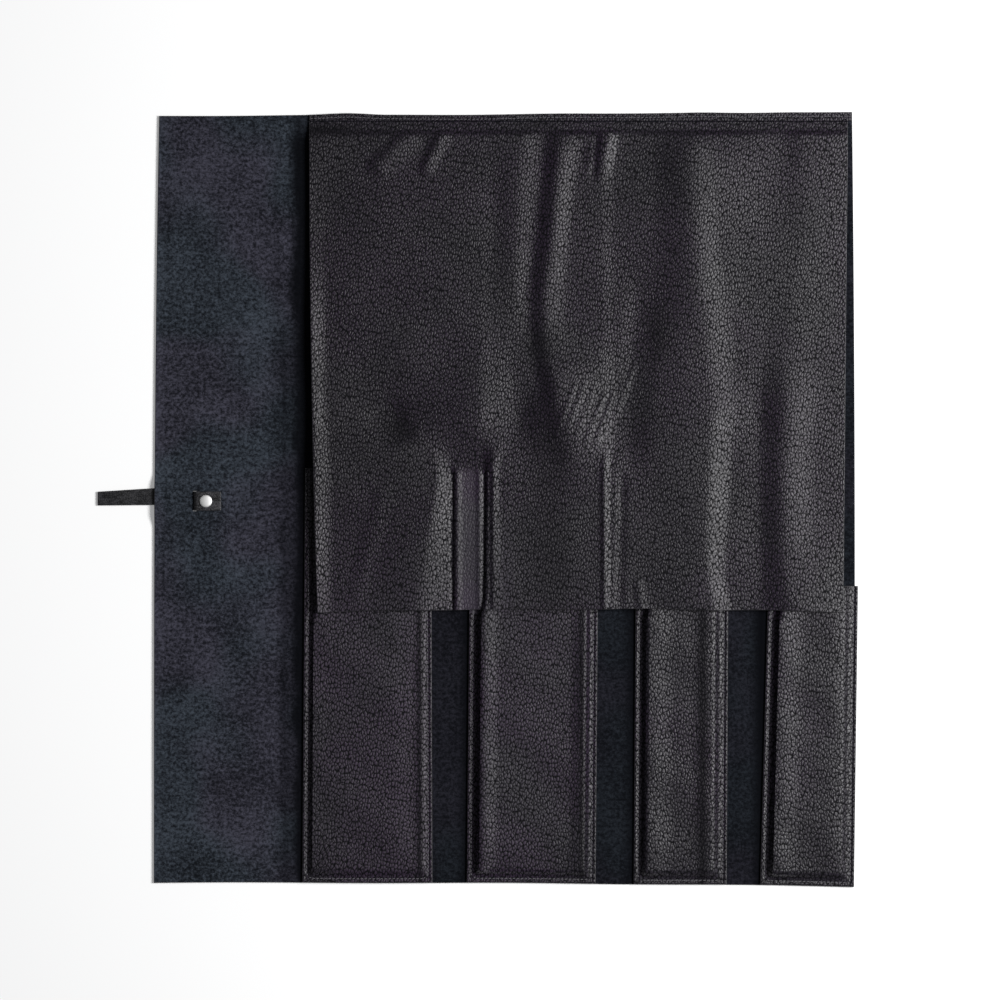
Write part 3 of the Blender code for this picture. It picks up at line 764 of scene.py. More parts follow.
def spread(low: float, high: float, step: float, fine: Iterable[tuple[float, float, float]] = (),
           start: Side = Side.CUT, end: Side = Side.CUT) -> Array:
    """Places from low to high, close together near its ends and in fine spans.

    Args:
        low: the first place.
        high: the last place.
        step: the usual distance between places.
        fine: spans of (low, high, step) with steps of their own.
        start: how the sheet ends at low.
        end: how the sheet ends at high.

    Returns:
        The places in order.
    """
    marks, ends = [low, high], [low, high]
    for side, place, inwards in ((start, 0, 1), (end, 1, -1)):
        if side is not Side.SEAM:
            marks += [ends[place] + inwards * reach for reach in EDGE_STEPS]
            ends[place] += inwards * EDGE_STEPS[-1]
    at, last = ends
    spans = sorted((max(a, at), min(b, last), finer) for a, b, finer in fine if min(b, last) > max(a, at))
    for a, b, finer in [*spans, (last, last, step)]:
        for first, final, pace in ((at, a, step), (a, b, finer)):
            if final > first:
                marks += list(np.linspace(first, final, math.ceil((final - first) / pace) + 1))
        at = b
    marks = np.unique(np.round(marks, 5))
    return marks[np.concatenate(([True], np.diff(marks) > LEAST_STEP))]


@dataclass
class Sheet:
    """One piece of a leather sheet: where its edges run, how high it lies, how it ends and its finishes."""

    name: str
    left: Callable[[Array], Array]
    right: Callable[[Array], Array]
    lower: Callable[[Array], Array]
    upper: Callable[[Array], Array]
    columns: Array
    rows: Array
    under: Callable[[Array, Array], Array]
    thickness: float
    sides: Sides
    skin: tuple[Material, Material, Material]

    def plan(self) -> tuple[Array, Array]:
        """Lay the grid between the edges.

        Returns:
            The X and the Y of each point, one row of the arrays for each row of points.
        """
        nominal = np.broadcast_to(self.columns, (len(self.rows), len(self.columns)))
        up, over = ((marks - marks[0]) / (marks[-1] - marks[0]) for marks in (self.rows, self.columns))
        low, high = self.lower(nominal), self.upper(nominal)
        y = low + (high - low) * up[:, None]
        left, right = self.left(y[:, :1]), self.right(y[:, -1:])
        return left + (right - left) * over[None, :], y

    def rounding(self, x: Array, y: Array) -> tuple[Array, Array]:
        """How the sides are rounded.

        Args:
            x: the points' X.
            y: the points' Y.

        Returns:
            How far each point's faces draw together, and its distance to the nearest cut side.
        """
        drop, cut = np.zeros_like(x), np.full_like(x, np.inf)
        for side, gap in zip(self.sides, (x - x[:, :1], x[:, -1:] - x, y - y[:1], y[-1:] - y)):
            if side is not Side.SEAM:
                inside = np.clip(1 - gap / side.value, 0, 1)
                drop = np.maximum(drop, side.value * (1 - np.sqrt(1 - inside ** 2)))
            if side is Side.CUT:
                cut = np.minimum(cut, gap)
        return drop, cut

    def build(self) -> Piece:
        """Make the sheet.

        Returns:
            The piece, with its flat places as a UV map.
        """
        x, y = self.plan()
        drop, cut = self.rounding(x, y)
        low = self.under(x, y)
        heights = (low + self.thickness - drop, low + drop)
        points = np.concatenate([np.stack([x, y, z], -1).reshape(-1, 3) for z in heights])
        top = np.arange(x.size).reshape(x.shape)
        bottom = top + x.size
        quads = np.stack([top[:-1, :-1], top[:-1, 1:], top[1:, 1:], top[1:, :-1]], -1).reshape(-1, 4)
        walls = [np.stack([b[:-1], b[1:], t[1:], t[:-1]], -1) for b, t in (
            (bottom[0], top[0]), (bottom[:, -1], top[:, -1]),
            (bottom[-1, ::-1], top[-1, ::-1]), (bottom[::-1, 0], top[::-1, 0]))]
        faces = np.concatenate([quads, quads[:, ::-1] + x.size, *walls])
        near = cut.reshape(-1)[quads].mean(1) < Side.CUT.value * EDGE_SHARE
        walls_of_edge = np.full(len(faces) - 2 * len(quads), 2)
        kinds = np.concatenate([np.where(near, 2, 0), np.where(near, 2, 1), walls_of_edge])
        mesh = bpy.data.meshes.new(self.name)
        mesh.from_pydata((points * MM).tolist(), [], faces.tolist())
        piece = add_piece(mesh, self.skin)
        mesh.polygons.foreach_set("material_index", kinds.astype(np.int32))
        smooth(mesh, 48)
        add_flat_map(mesh, points[:, :2] * MM)
        return piece


def add_flat_map(mesh: bpy.types.Mesh, flat: Array) -> None:
    """Give a mesh its flat cutting places.

    Args:
        mesh: the mesh.
        flat: each point's place on the flat leather, in metres.
    """
    corners = np.empty(len(mesh.loops), np.int32)
    mesh.loops.foreach_get("vertex_index", corners)
    layer = mesh.uv_layers.new(name=FLAT_MAP)
    layer.data.foreach_set("uv", flat[corners].astype(np.float32).ravel())


def smooth(mesh: bpy.types.Mesh, sharp: float) -> None:
    """Shade a mesh smooth, with sharp edges from an angle between faces on, in degrees."""
    mesh.shade_smooth()
    mesh.set_sharp_from_angle(angle=math.radians(sharp))


def add_piece(mesh: bpy.types.Mesh, materials: Iterable[Material] = ()) -> Piece:
    """Put a mesh into the scene at the origin, as a piece with its name.

    Args:
        mesh: the mesh.
        materials: the materials that it gets.

    Returns:
        The piece.
    """
    for material in materials:
        mesh.materials.append(material)
    piece = bpy.data.objects.new(mesh.name, mesh)
    bpy.context.scene.collection.objects.link(piece)
    return piece


def baked(piece: Piece, name: str) -> bpy.types.Mesh:
    """Work a piece's modifiers into a new mesh.

    Args:
        piece: the piece.
        name: the mesh's name.

    Returns:
        The mesh.
    """
    graph = bpy.context.evaluated_depsgraph_get()
    mesh = bpy.data.meshes.new_from_object(piece.evaluated_get(graph), depsgraph=graph)
    mesh.name = name
    return mesh


# ---- Stitches


@dataclass
class Stitching:
    """Rows of stitches along paths, made with Geometry Nodes."""

    thread: Material
    pitch: float = 2.6
    length: float = 2.05
    width: float = 0.62
    height: float = 0.5
    slant: float = math.radians(9)
    jitter: float = 0.06
    tree: bpy.types.NodeTree | None = None

    def make_tree(self) -> bpy.types.NodeTree:
        """Build the tree that lays one stitch at every pitch of a curve.

        Returns:
            The tree, with its sizes and its thread as named inputs.
        """
        tree = bpy.data.node_groups.new("stitch_row", "GeometryNodeTree")
        kinds = {"Geometry": "Geometry", "Pitch": "Float", "Length": "Float", "Width": "Float",
                 "Height": "Float", "Slant": "Float", "Seed": "Int", "Thread": "Material"}
        for name, kind in kinds.items():
            tree.interface.new_socket(name, in_out="INPUT", socket_type=f"NodeSocket{kind}")
        tree.interface.new_socket("Geometry", in_out="OUTPUT", socket_type="NodeSocketGeometry")
        nodes = Nodes(tree)
        add, given = nodes.output, nodes.node("NodeGroupInput").outputs
        length = {"Curve": given["Geometry"], "Length": given["Pitch"]}
        points = add("GeometryNodeResampleCurve", length, mode="LENGTH")
        drawn = {2: -self.jitter, 3: self.jitter, "Seed": given["Seed"]}
        jitter = add("FunctionNodeRandomValue", drawn, 1, data_type="FLOAT")
        turn = add("ShaderNodeMath", {0: given["Slant"], 1: jitter}, operation="ADD")
        tilt = add("FunctionNodeEulerToRotation", {0: add("ShaderNodeCombineXYZ", {"Z": turn})})
        tangent = add("GeometryNodeInputTangent")
        along = add("FunctionNodeAlignRotationToVector", {"Vector": tangent}, axis="X")
        turned = add("FunctionNodeRotateRotation", {0: along, 1: tilt}, rotation_space="LOCAL")
        size = add("ShaderNodeCombineXYZ", {0: given["Length"], 1: given["Width"], 2: given["Height"]})
        bead = add("GeometryNodeMeshUVSphere", {"Segments": 8, "Rings": 6, "Radius": 0.5}, "Mesh")
        laid = add("GeometryNodeTransform", {"Geometry": bead, "Rotation": (0, math.pi / 2, 0)})
        placed = add("GeometryNodeInstanceOnPoints", {
            "Points": points, "Instance": add("GeometryNodeSetShadeSmooth", {0: laid}), "Rotation": turned,
            "Scale": size})
        real = add("GeometryNodeRealizeInstances", {0: placed})
        dressed = add("GeometryNodeSetMaterial", {"Geometry": real, "Material": given["Thread"]})
        nodes.node("NodeGroupOutput", {0: dressed})
        return tree

    def sew(self, name: str, path: Array, seed: int) -> Piece:
        """Lay stitches along a path and bake them to one mesh.

        Args:
            name: the piece's name.
            path: the path's points, in millimetres.
            seed: what the stitches' small turns are drawn from.

        Returns:
            The piece.
        """
        self.tree = self.tree or self.make_tree()
        curve = bpy.data.curves.new(name + "_path", "CURVE")
        curve.dimensions = "3D"
        line = curve.splines.new("POLY")
        line.points.add(len(path) - 1)
        line.points.foreach_set("co", np.column_stack([path * MM, np.ones(len(path))]).ravel())
        carrier = bpy.data.objects.new(name + "_path", curve)
        bpy.context.scene.collection.objects.link(carrier)
        modifier = carrier.modifiers.new("stitches", "NODES")
        modifier.node_group = self.tree
        given = {"Pitch": self.pitch * MM, "Length": self.length * MM, "Width": self.width * MM,
                 "Height": self.height * MM, "Slant": self.slant, "Seed": seed, "Thread": self.thread}
        for item in self.tree.interface.items_tree:
            if item.item_type == "SOCKET" and item.in_out == "INPUT" and item.name in given:
                modifier[item.identifier] = given[item.name]
        mesh = baked(carrier, name)
        bpy.data.objects.remove(carrier, do_unlink=True)
        return add_piece(mesh)


# ---- How high the leather lies


@dataclass(frozen=True)
class Fold:
    """A fold or hollow pressed into leather: a line with a width on each side and a rise."""

    start: Point
    end: Point
    rise: float
    left_width: float
    right_width: float
    end_width: float

    def height(self, x: Array, y: Array) -> Array:
        """What the fold adds.

        Args:
            x: the places' X.
            y: the places' Y.

        Returns:
            The rise at each place.
        """
        along = np.subtract(self.end, self.start)
        length = math.hypot(*along)
        ux, uy = along / length
        run = (x - self.start[0]) * ux + (y - self.start[1]) * uy
        aside = (x - self.start[0]) * -uy + (y - self.start[1]) * ux
        to_right = aside * (1 if uy < 0 else -1)
        width = np.where(to_right > 0, self.right_width, self.left_width)
        past = np.maximum(np.maximum(-run, run - length), 0) / self.end_width
        return self.rise * bell(np.hypot(aside / width, past))


FLAP_FOLDS = (
    Fold((-66, 217), (-46, 237), 1.1, 7.0, 14.0, 8),
    Fold((-34, 216), (-22, 241), 1.0, 5.0, 9.0, 7),
    Fold((78, 240), (75.5, 212), -0.8, 4.0, 3.5, 6),
    Fold((104, 120), (100, 40), -0.7, 12, 16, 30),
    Fold((-57, 58), (-51, 42), -0.9, 26, 15, 9),
    Fold((-62, 0), (-78, -60), 0.35, 9, 9, 14),
    Fold((104, -56), (107, -74), 0.6, 4, 5, 6),
    Fold((94, 12), (92, -70), -0.4, 5, 5, 8),
)


@dataclass(frozen=True)
class Run:
    """A crest or valley of the flap: its X at the crease, then (y, x, inner height) knots from there down."""

    start: float
    knots: tuple[tuple[float, float, float], ...]

    def place(self, y: Array) -> tuple[Array, Array]:
        """Where the line crosses y: its X and its height at each."""
        ys, xs, heights = np.array([(CREASE, self.start, SEWN), *self.knots])[::-1].T
        return through(ys, xs, y), through(ys, heights, y)


FLAP_RUNS = (
    Run(-110.6, ((232, -110, 4.2), (215, -110, 4.4), (160, -109, 4.8), (140, -108.5, 5.6), (120, -108, 6.7),
        (90, -107.5, 6.8), (70, -107, 6.5), (45, -106, 7.3), (18, -105.5, 9.0), (-20, -105, 9.2),
        (-73, -104.4, 9.5))),
    Run(-97, ((233, -97, 4.3), (215, -97, 4.2), (160, -97, 4.2), (120, -97, 4.7), (90, -97, 4.8),
        (60, -97, 4.7), (45, -96, 5.6), (18, -94, 7.2), (-73, -94, 7.3))),
    Run(-70, ((233, -70, 4.5), (215, -70, 4.4), (160, -70, 4.5), (100, -70, 4.7), (75, -70, 4.7),
        (60, -70, 4.3), (48, -70, 5.0), (34, -70, 6.6), (18, -70, 7.3), (-73, -70, 7.4))),
    Run(-45, ((234, -45, 4.3), (215, -45, 4.4), (160, -45, 4.6), (100, -45, 5.1), (75, -44, 5.2),
        (60, -42, 5.2), (50, -39, 5.8), (36, -34, 6.9), (18, -27.5, 7.8), (-20, -33, 8.4), (-50, -38, 8.6),
        (-73, -42, 8.7))),
    Run(-28, ((235, -28, 4.6), (215, -28, 4.4), (160, -28, 4.6), (100, -26, 5.0), (75, -24, 5.8),
        (60, -22, 6.4), (45, -20, 6.8), (30, -17.5, 6.4), (18, -16.6, 6.0), (-20, -16.6, 5.5),
        (-73, -16.6, 5.1))),
    Run(0, ((236, 0, 4.4), (215, 0, 4.4), (160, 0, 4.7), (120, 0, 5.0), (90, 0, 5.8), (70, 0, 7.0),
        (50, 0, 7.6), (35, 2, 7.0), (18, 3.2, 6.6), (-20, 3.2, 6.3), (-73, 3.2, 6.1))),
    Run(10, ((236, 10, 4.4), (215, 10, 4.3), (160, 10, 4.5), (90, 11, 5.0), (70, 12, 5.9), (50, 12, 6.4),
        (35, 11, 7.4), (24, 10, 8.8), (18, 9.6, 9.15), (-20, 9.6, 9.2), (-73, 9.6, 9.25))),
    Run(28, ((236, 28, 4.7), (215, 26, 5.0), (170, 24, 5.0), (120, 22, 4.6), (90, 24, 4.3), (70, 26, 4.6),
        (50, 26, 5.4), (35, 22, 7.0), (18, 14.5, 8.4), (-20, 16, 8.35), (-73, 20.5, 8.1))),
    Run(44, ((238, 43, 3.5), (215, 41, 3.8), (170, 37, 3.9), (130, 33, 3.9), (100, 34, 4.2), (80, 37, 4.7),
        (60, 40, 6.6), (45, 42, 7.6), (30, 44, 8.1), (18, 46, 8.2), (-73, 46, 8.2))),
    Run(57, ((238, 55, 4.6), (215, 52, 6.1), (170, 48, 6.1), (123, 43.5, 5.7), (100, 45, 5.5), (80, 50, 7.8),
        (60, 54, 9.2), (45, 57, 9.4), (30, 60, 9.0), (18, 62, 8.5), (-73, 62, 8.4))),
    Run(72, ((236, 70, 4.2), (215, 66, 4.4), (170, 61, 4.4), (120, 58, 4.6), (100, 62, 5.0), (80, 74, 6.3),
        (60, 78, 6.6), (40, 79.5, 7.5), (24, 79.2, 8.4), (18, 79, 8.6), (-73, 79.2, 8.7))),
    Run(87, ((238, 85, 5.4), (225, 83, 6.3), (211, 80.5, 5.0), (200, 80, 4.6), (120, 80, 4.7), (100, 80, 4.8),
        (80, 82, 5.6), (60, 83, 5.9), (40, 83, 6.6), (24, 82.2, 8.7), (18, 82, 9.3), (-73, 82.4, 9.4))),
    Run(94, ((238, 93, 3.8), (215, 89, 4.0), (170, 89, 4.2), (100, 91, 4.3), (80, 91, 4.7), (60, 91, 5.0),
        (40, 90, 5.6), (24, 87, 7.4), (18, 86.2, 7.8), (-73, 86.4, 7.9))),
    Run(114, ((237, 114, 4.3), (215, 113, 4.8), (170, 113, 5.1), (140, 112, 4.9), (120, 110, 4.7),
        (100, 108, 4.9), (60, 104, 6.0), (40, 102, 6.4), (18, 101, 7.6), (-73, 101, 7.6))),
    Run(141, ((240, 140, 5.0), (228, 139.5, 7.3), (215, 139.5, 7.7), (170, 141, 7.9), (140, 142, 7.2),
        (110, 146, 6.9), (80, 149, 7.2), (60, 151, 7.9), (40, 150, 8.8), (18, 149, 9.2), (-30, 147, 9.2),
        (-55, 149.5, 9.2), (-73, 153, 9.3))),
    Run(157, ((240, 157, 4.2), (215, 158, 6.3), (170, 158, 5.8), (140, 162, 5.2), (100, 168, 4.9),
        (60, 169, 5.7), (40, 167, 5.8), (18, 166, 5.9), (-20, 163, 6.0), (-50, 162, 6.2), (-73, 166, 6.0))),
    Run(196, ((238, 197, 3.6), (215, 197, 4.5), (170, 196, 4.8), (140, 192, 4.7), (100, 186, 4.7),
        (60, 182, 5.0), (18, 181, 5.9), (-20, 181, 6.0), (-73, 182, 6.4))),
    Run(212, ((237, 212, 4.5), (215, 213, 5.1), (170, 212, 5.0), (140, 208, 4.95), (100, 203, 5.3),
        (60, 201, 7.6), (18, 199, 8.4), (-20, 199, 8.4), (-55, 202, 9.1), (-73, 206, 9.3))),
    Run(227, ((236, 227, 4.2), (215, 228, 4.9), (170, 227, 4.7), (110, 224, 4.7), (60, 222, 5.8),
        (18, 220, 6.4), (-20, 220, 6.5), (-45, 223, 8.0), (-73, 226, 8.7))),
    Run(243, ((236, 243, 3.8), (215, 243, 4.5), (170, 243, 4.3), (110, 243, 4.4), (60, 242, 5.5),
        (18, 241, 6.1), (-20, 241, 6.2), (-45, 240, 7.2), (-73, 240, 7.1))),
)
BAND = ((-24, 0), (-18.6, -0.4), (-16.6, -1.0), (-14.8, 0.8), (-13.4, 1.2), (-9.4, 0.4), (-1.2, 0.0),
        (-0.2, 0.2), (1.0, 0.3), (3.6, -0.6), (5.0, -1.0), (8.2, -0.5), (9.6, 0))


@dataclass(frozen=True)
class Wrinkles:
    """Fine parallel wrinkles where the flap is gathered above a pocket's mouth."""

    start: Point = (52.0, 46.0)
    step: Point = (6.4, 2.0)
    run: Point = (10.0, 26.0)
    count: int = 7
    rise: float = 0.38
    widths: tuple[float, float, float] = (2.0, 3.4, 8.0)

    def folds(self) -> list[Fold]:
        """Each wrinkle as a fold.

        Returns:
            The folds, uneven in place and rise.
        """
        made = []
        for k in range(self.count):
            at = (self.start[0] + self.step[0] * k, self.start[1] + self.step[1] * k * math.cos(k))
            end = (at[0] + self.run[0], at[1] + self.run[1])
            made.append(Fold(at, end, self.rise * (1 + 0.3 * math.sin(2.1 * k)), *self.widths))
        return made


@dataclass(frozen=True)
class Lie:
    """How high the inner faces of the pockets and the flap lie over the base."""

    puff: float = 4.5
    fall: float = 0.00026
    pressed_in: float = 3.0
    margin: float = 4.4
    bottom: Shoulder = Shoulder(0.88, 3.6, 20.0)
    groove: float = 0.30
    groove_width: float = 1.2
    stitch_inset: float = 2.7
    pucker: float = 0.10
    bead: float = 0.15
    bare_below: float = -62.0
    bare_run: float = 18.0
    ceiling: float = 9.6
    hinge_slope: float = 0.14
    hem_reach: float = 6.3
    free_run: float = 12.0
    overlap: float = 0.6

    def pocket(self, pocket: Pocket, x: Array, y: Array) -> Array:
        """A pocket's inner face.

        Args:
            pocket: which pocket.
            x: the places' X.
            y: the places' Y.

        Returns:
            The height at each place.
        """
        above = y - pocket_bottom(x)
        bare = ease((self.bare_below - y) / self.bare_run)
        insets = (x - pocket.left_x(y) - self.pressed_in * (1 - bare), pocket.right_x(y) - x)
        height = self.puff * pocket.fullness - self.fall * pocket.width * (x - pocket.middle)
        for shoulder, inset in zip(pocket.shoulders, insets):
            height = height * shoulder.rise(inset - self.margin)
        for shoulder, inset in zip(pocket.shoulders, insets):
            height = height + shoulder.crested(inset - self.margin) * bare
        inset = np.minimum(*insets)
        wave = 0.25 * np.sin(y / 19 + pocket.left) * np.sin(x / 13 + y / 41) + 0.12 * np.sin(y / 7.3 + x / 9)
        height = height + wave * ease((inset - self.margin) / 12) * ease((POCKET_TOP - 1 - height) / 1.5)
        height = height * self.bottom.rise(above - self.margin)
        pucker = self.pucker * np.abs(np.sin(y / 3.1)) * bell((inset - 4.6) / 2.4)
        nearest = np.minimum(inset, above)
        pressed = self.groove * bell((nearest - self.stitch_inset) / self.groove_width)
        return SEWN + height + pucker + self.bead * bell(nearest - 1.1) - pressed

    def drape(self, x: Array, y: Array) -> Array:
        """The flap's inner face between its crests and valleys, before fine folds, row by row."""
        marks, heights = np.array([run.place(y.mean(axis=1)) for run in FLAP_RUNS]).transpose(1, 2, 0)
        return np.array([through(*row) for row in zip(marks, heights, x)])

    def flap(self, x: Array, y: Array) -> Array:
        """The flap's inner face: its drape and folds, held under its ceiling and clear of the pockets.

        Args:
            x: the places' X, one row of the array for each row of places.
            y: the places' Y.

        Returns:
            The height at each place.
        """
        below = CREASE - y
        free = ease(below / self.free_run)
        band = through(*np.array(BAND).T, x) * ease((22 - y) / 7)
        folds = sum(fold.height(x, y) for fold in (*FLAP_FOLDS, *Wrinkles().folds()))
        edge = 0.35 * bell((y - flap_bottom(x)) / 7) * (1 + np.sin(x / 11)) / 2
        wave = 0.14 * np.sin(x / 9 + y / 31) * np.sin(y / 17) + 0.12 * np.sin(x / 23 - y / 12)
        height = np.minimum(self.drape(x, y) + band + free * (folds + edge + wave), self.ceiling)
        hinge = SEWN + self.hinge_slope * below + self.ceiling * ease((below - self.hem_reach) / 6)
        height = np.maximum(np.minimum(height, hinge), SEWN + 0.1 * free)
        for pocket in POCKETS:
            over = (pocket.left_x(y) - self.overlap <= x) & (x <= pocket.right_x(y) + self.overlap)
            clear = self.pocket(pocket, x, y) + SKIN_THICKNESS + CLEARANCE
            height = np.where(over & (y <= pocket.mouth + self.overlap), np.maximum(height, clear), height)
        return height


LIE = Lie()


# ---- The roll's leather


@dataclass
class Base:
    """The base sheet, suede side up, in four pieces cut where the roll folds."""

    finishes: Finishes
    seams: tuple[float, ...] = tuple(pocket.middle for pocket in POCKETS[:3])
    slot_size: tuple[float, float, float] = (2.4, 13.1, 20.0)
    strap_lift: float = 2.1
    lift_y: float = STRAP_Y + 0.6
    lift_reach: Point = (1.0, 8.6)
    lift_fall: Point = (9.0, 9.5)
    creases: tuple[Fold, ...] = (
        Fold((-127, 215), (-129, 10), 0.9, 7, 9, 40),
        Fold((-118, 120), (-119, -40), 0.5, 6, 5, 60),
        Fold((-170, 180), (-150, 60), 0.35, 20, 24, 40),
    )

    def lift(self, x: Array, y: Array) -> Array:
        """The under face where the suede rides up over the strap, with its soft creases.

        Args:
            x: the places' X.
            y: the places' Y.

        Returns:
            The height at each place.
        """
        raised = self.strap_lift
        for gap, reach, fall in zip((x - TAB_END, np.abs(y - self.lift_y)), self.lift_reach, self.lift_fall):
            raised = raised * ease(1 - (gap - reach) / fall)
        return raised + sum(crease.height(x, y) for crease in self.creases)

    def build(self) -> list[Piece]:
        """Make the four pieces and hide the model's parts that they replace.

        Returns:
            The pieces.
        """
        cuts = [LEFT, *self.seams, RIGHT]
        joins = [("panel_1", "closure", *CLOSURE_SPAN)]
        joins += [(f"panel_{k}", f"panel_{k + 1}", *span) for k, span in enumerate(FOLD_SPANS, start=1)]
        replaced = [("closure_panel", "base_panel_1"), *((f"base_panel_{k}",) for k in (2, 3, 4))]
        pieces = []
        for k, (low, high, (a, b, start, end)) in enumerate(zip(cuts, cuts[1:], joins)):
            first, sides = k == 0, piece_sides(k, len(joins))
            piece = Sheet(
                name=f"base_leather_{k + 1}", left=base_left if first else constant(low),
                right=base_right if high == RIGHT else constant(high), lower=base_bottom, upper=base_top,
                columns=spread(low, high, 2.6, [(min(start, end), max(start, end), 0.85)], *sides[:2]),
                rows=spread(-TOP, TOP, 2.4 if first else 4.0), under=self.lift if first else level,
                thickness=BASE_THICKNESS, sides=sides, skin=self.finishes.base_skin).build()
            if first:
                self.cut_slot(piece)
            start * MM
            end * MM
            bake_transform(piece)
            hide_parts(*replaced[k])
            (high - low) * MM
            pieces.append(piece)
        return pieces

    def cut_slot(self, piece: Piece) -> None:
        """Cut the slot that the strap comes up through.

        Args:
            piece: the base's first piece.
        """
        bm = bmesh.new()
        bmesh.ops.create_cube(bm, size=1)
        for vert in bm.verts:
            vert.co = (vert.co * Vector(self.slot_size) + Vector((SLOT_X, STRAP_Y, 0))) * MM
        mesh = bpy.data.meshes.new("slot")
        bm.to_mesh(mesh)
        bm.free()
        cutter = add_piece(mesh, (self.finishes.edge,))
        boolean = piece.modifiers.new("slot", "BOOLEAN")
        boolean.operation, boolean.object, boolean.material_mode = "DIFFERENCE", cutter, "TRANSFER"
        piece.data = baked(piece, piece.name)
        piece.modifiers.clear()
        bpy.data.objects.remove(cutter, do_unlink=True)


@dataclass
class Pockets:
    """The four sewn pockets with their stitches."""

    finishes: Finishes
    stitching: Stitching
    corner: float = 3.0
    below_mouth: float = 1.5

    def build(self) -> list[Piece]:
        """Each pocket and its stitches, from the strap side on."""
        return [piece for k, pocket in enumerate(POCKETS, start=1) for piece in self.build_one(k, pocket)]

    def build_one(self, number: int, pocket: Pocket) -> list[Piece]:
        """Make one pocket and its stitches, and hang them on their panel.

        Args:
            number: the pocket's number, from the strap side.
            pocket: its plan.

        Returns:
            The leather and its stitches.
        """
        leather = Sheet(
            name=f"pocket_leather_{number}", left=pocket.left_x, right=pocket.right_x, lower=pocket_bottom,
            upper=constant(pocket.mouth), columns=spread(pocket.left, pocket.right, 1.5),
            rows=spread(-TOP, pocket.mouth, 2.0), under=partial(LIE.pocket, pocket), thickness=SKIN_THICKNESS,
            sides=(Side.CUT,) * 4, skin=self.finishes.cover_skin).build()
        stitches = self.stitching.sew(f"pocket_stitches_{number}", self.seam(pocket), number)
        for piece, slot in ((leather, "pebbled_leather"), (stitches, "thread")):
            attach(piece, f"panel_{number}")
        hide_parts(f"pocket_{number}")
        pocket.width * MM
        return [leather, stitches]

    def seam(self, pocket: Pocket) -> Array:
        """The line that a pocket is sewn along: down one side, along the bottom and up the other.

        Args:
            pocket: its plan.

        Returns:
            The line's points on the leather, in millimetres.
        """
        inset = LIE.stitch_inset
        ends = np.array([pocket.left + inset, pocket.right - inset])
        low, high = pocket_bottom(ends) + inset + self.corner, pocket.mouth - self.below_mouth
        down, up = np.linspace(high, low[0], 160), np.linspace(low[1], high, 160)
        along = np.linspace(ends[0] + self.corner, ends[1] - self.corner, 60)
        x = np.concatenate([pocket.left_x(down) + inset, along, pocket.right_x(up) - inset])
        y = np.concatenate([down, pocket_bottom(along) + inset, up])
        return np.column_stack([x, y, LIE.pocket(pocket, x, y) + SKIN_THICKNESS + THREAD_LIFT])


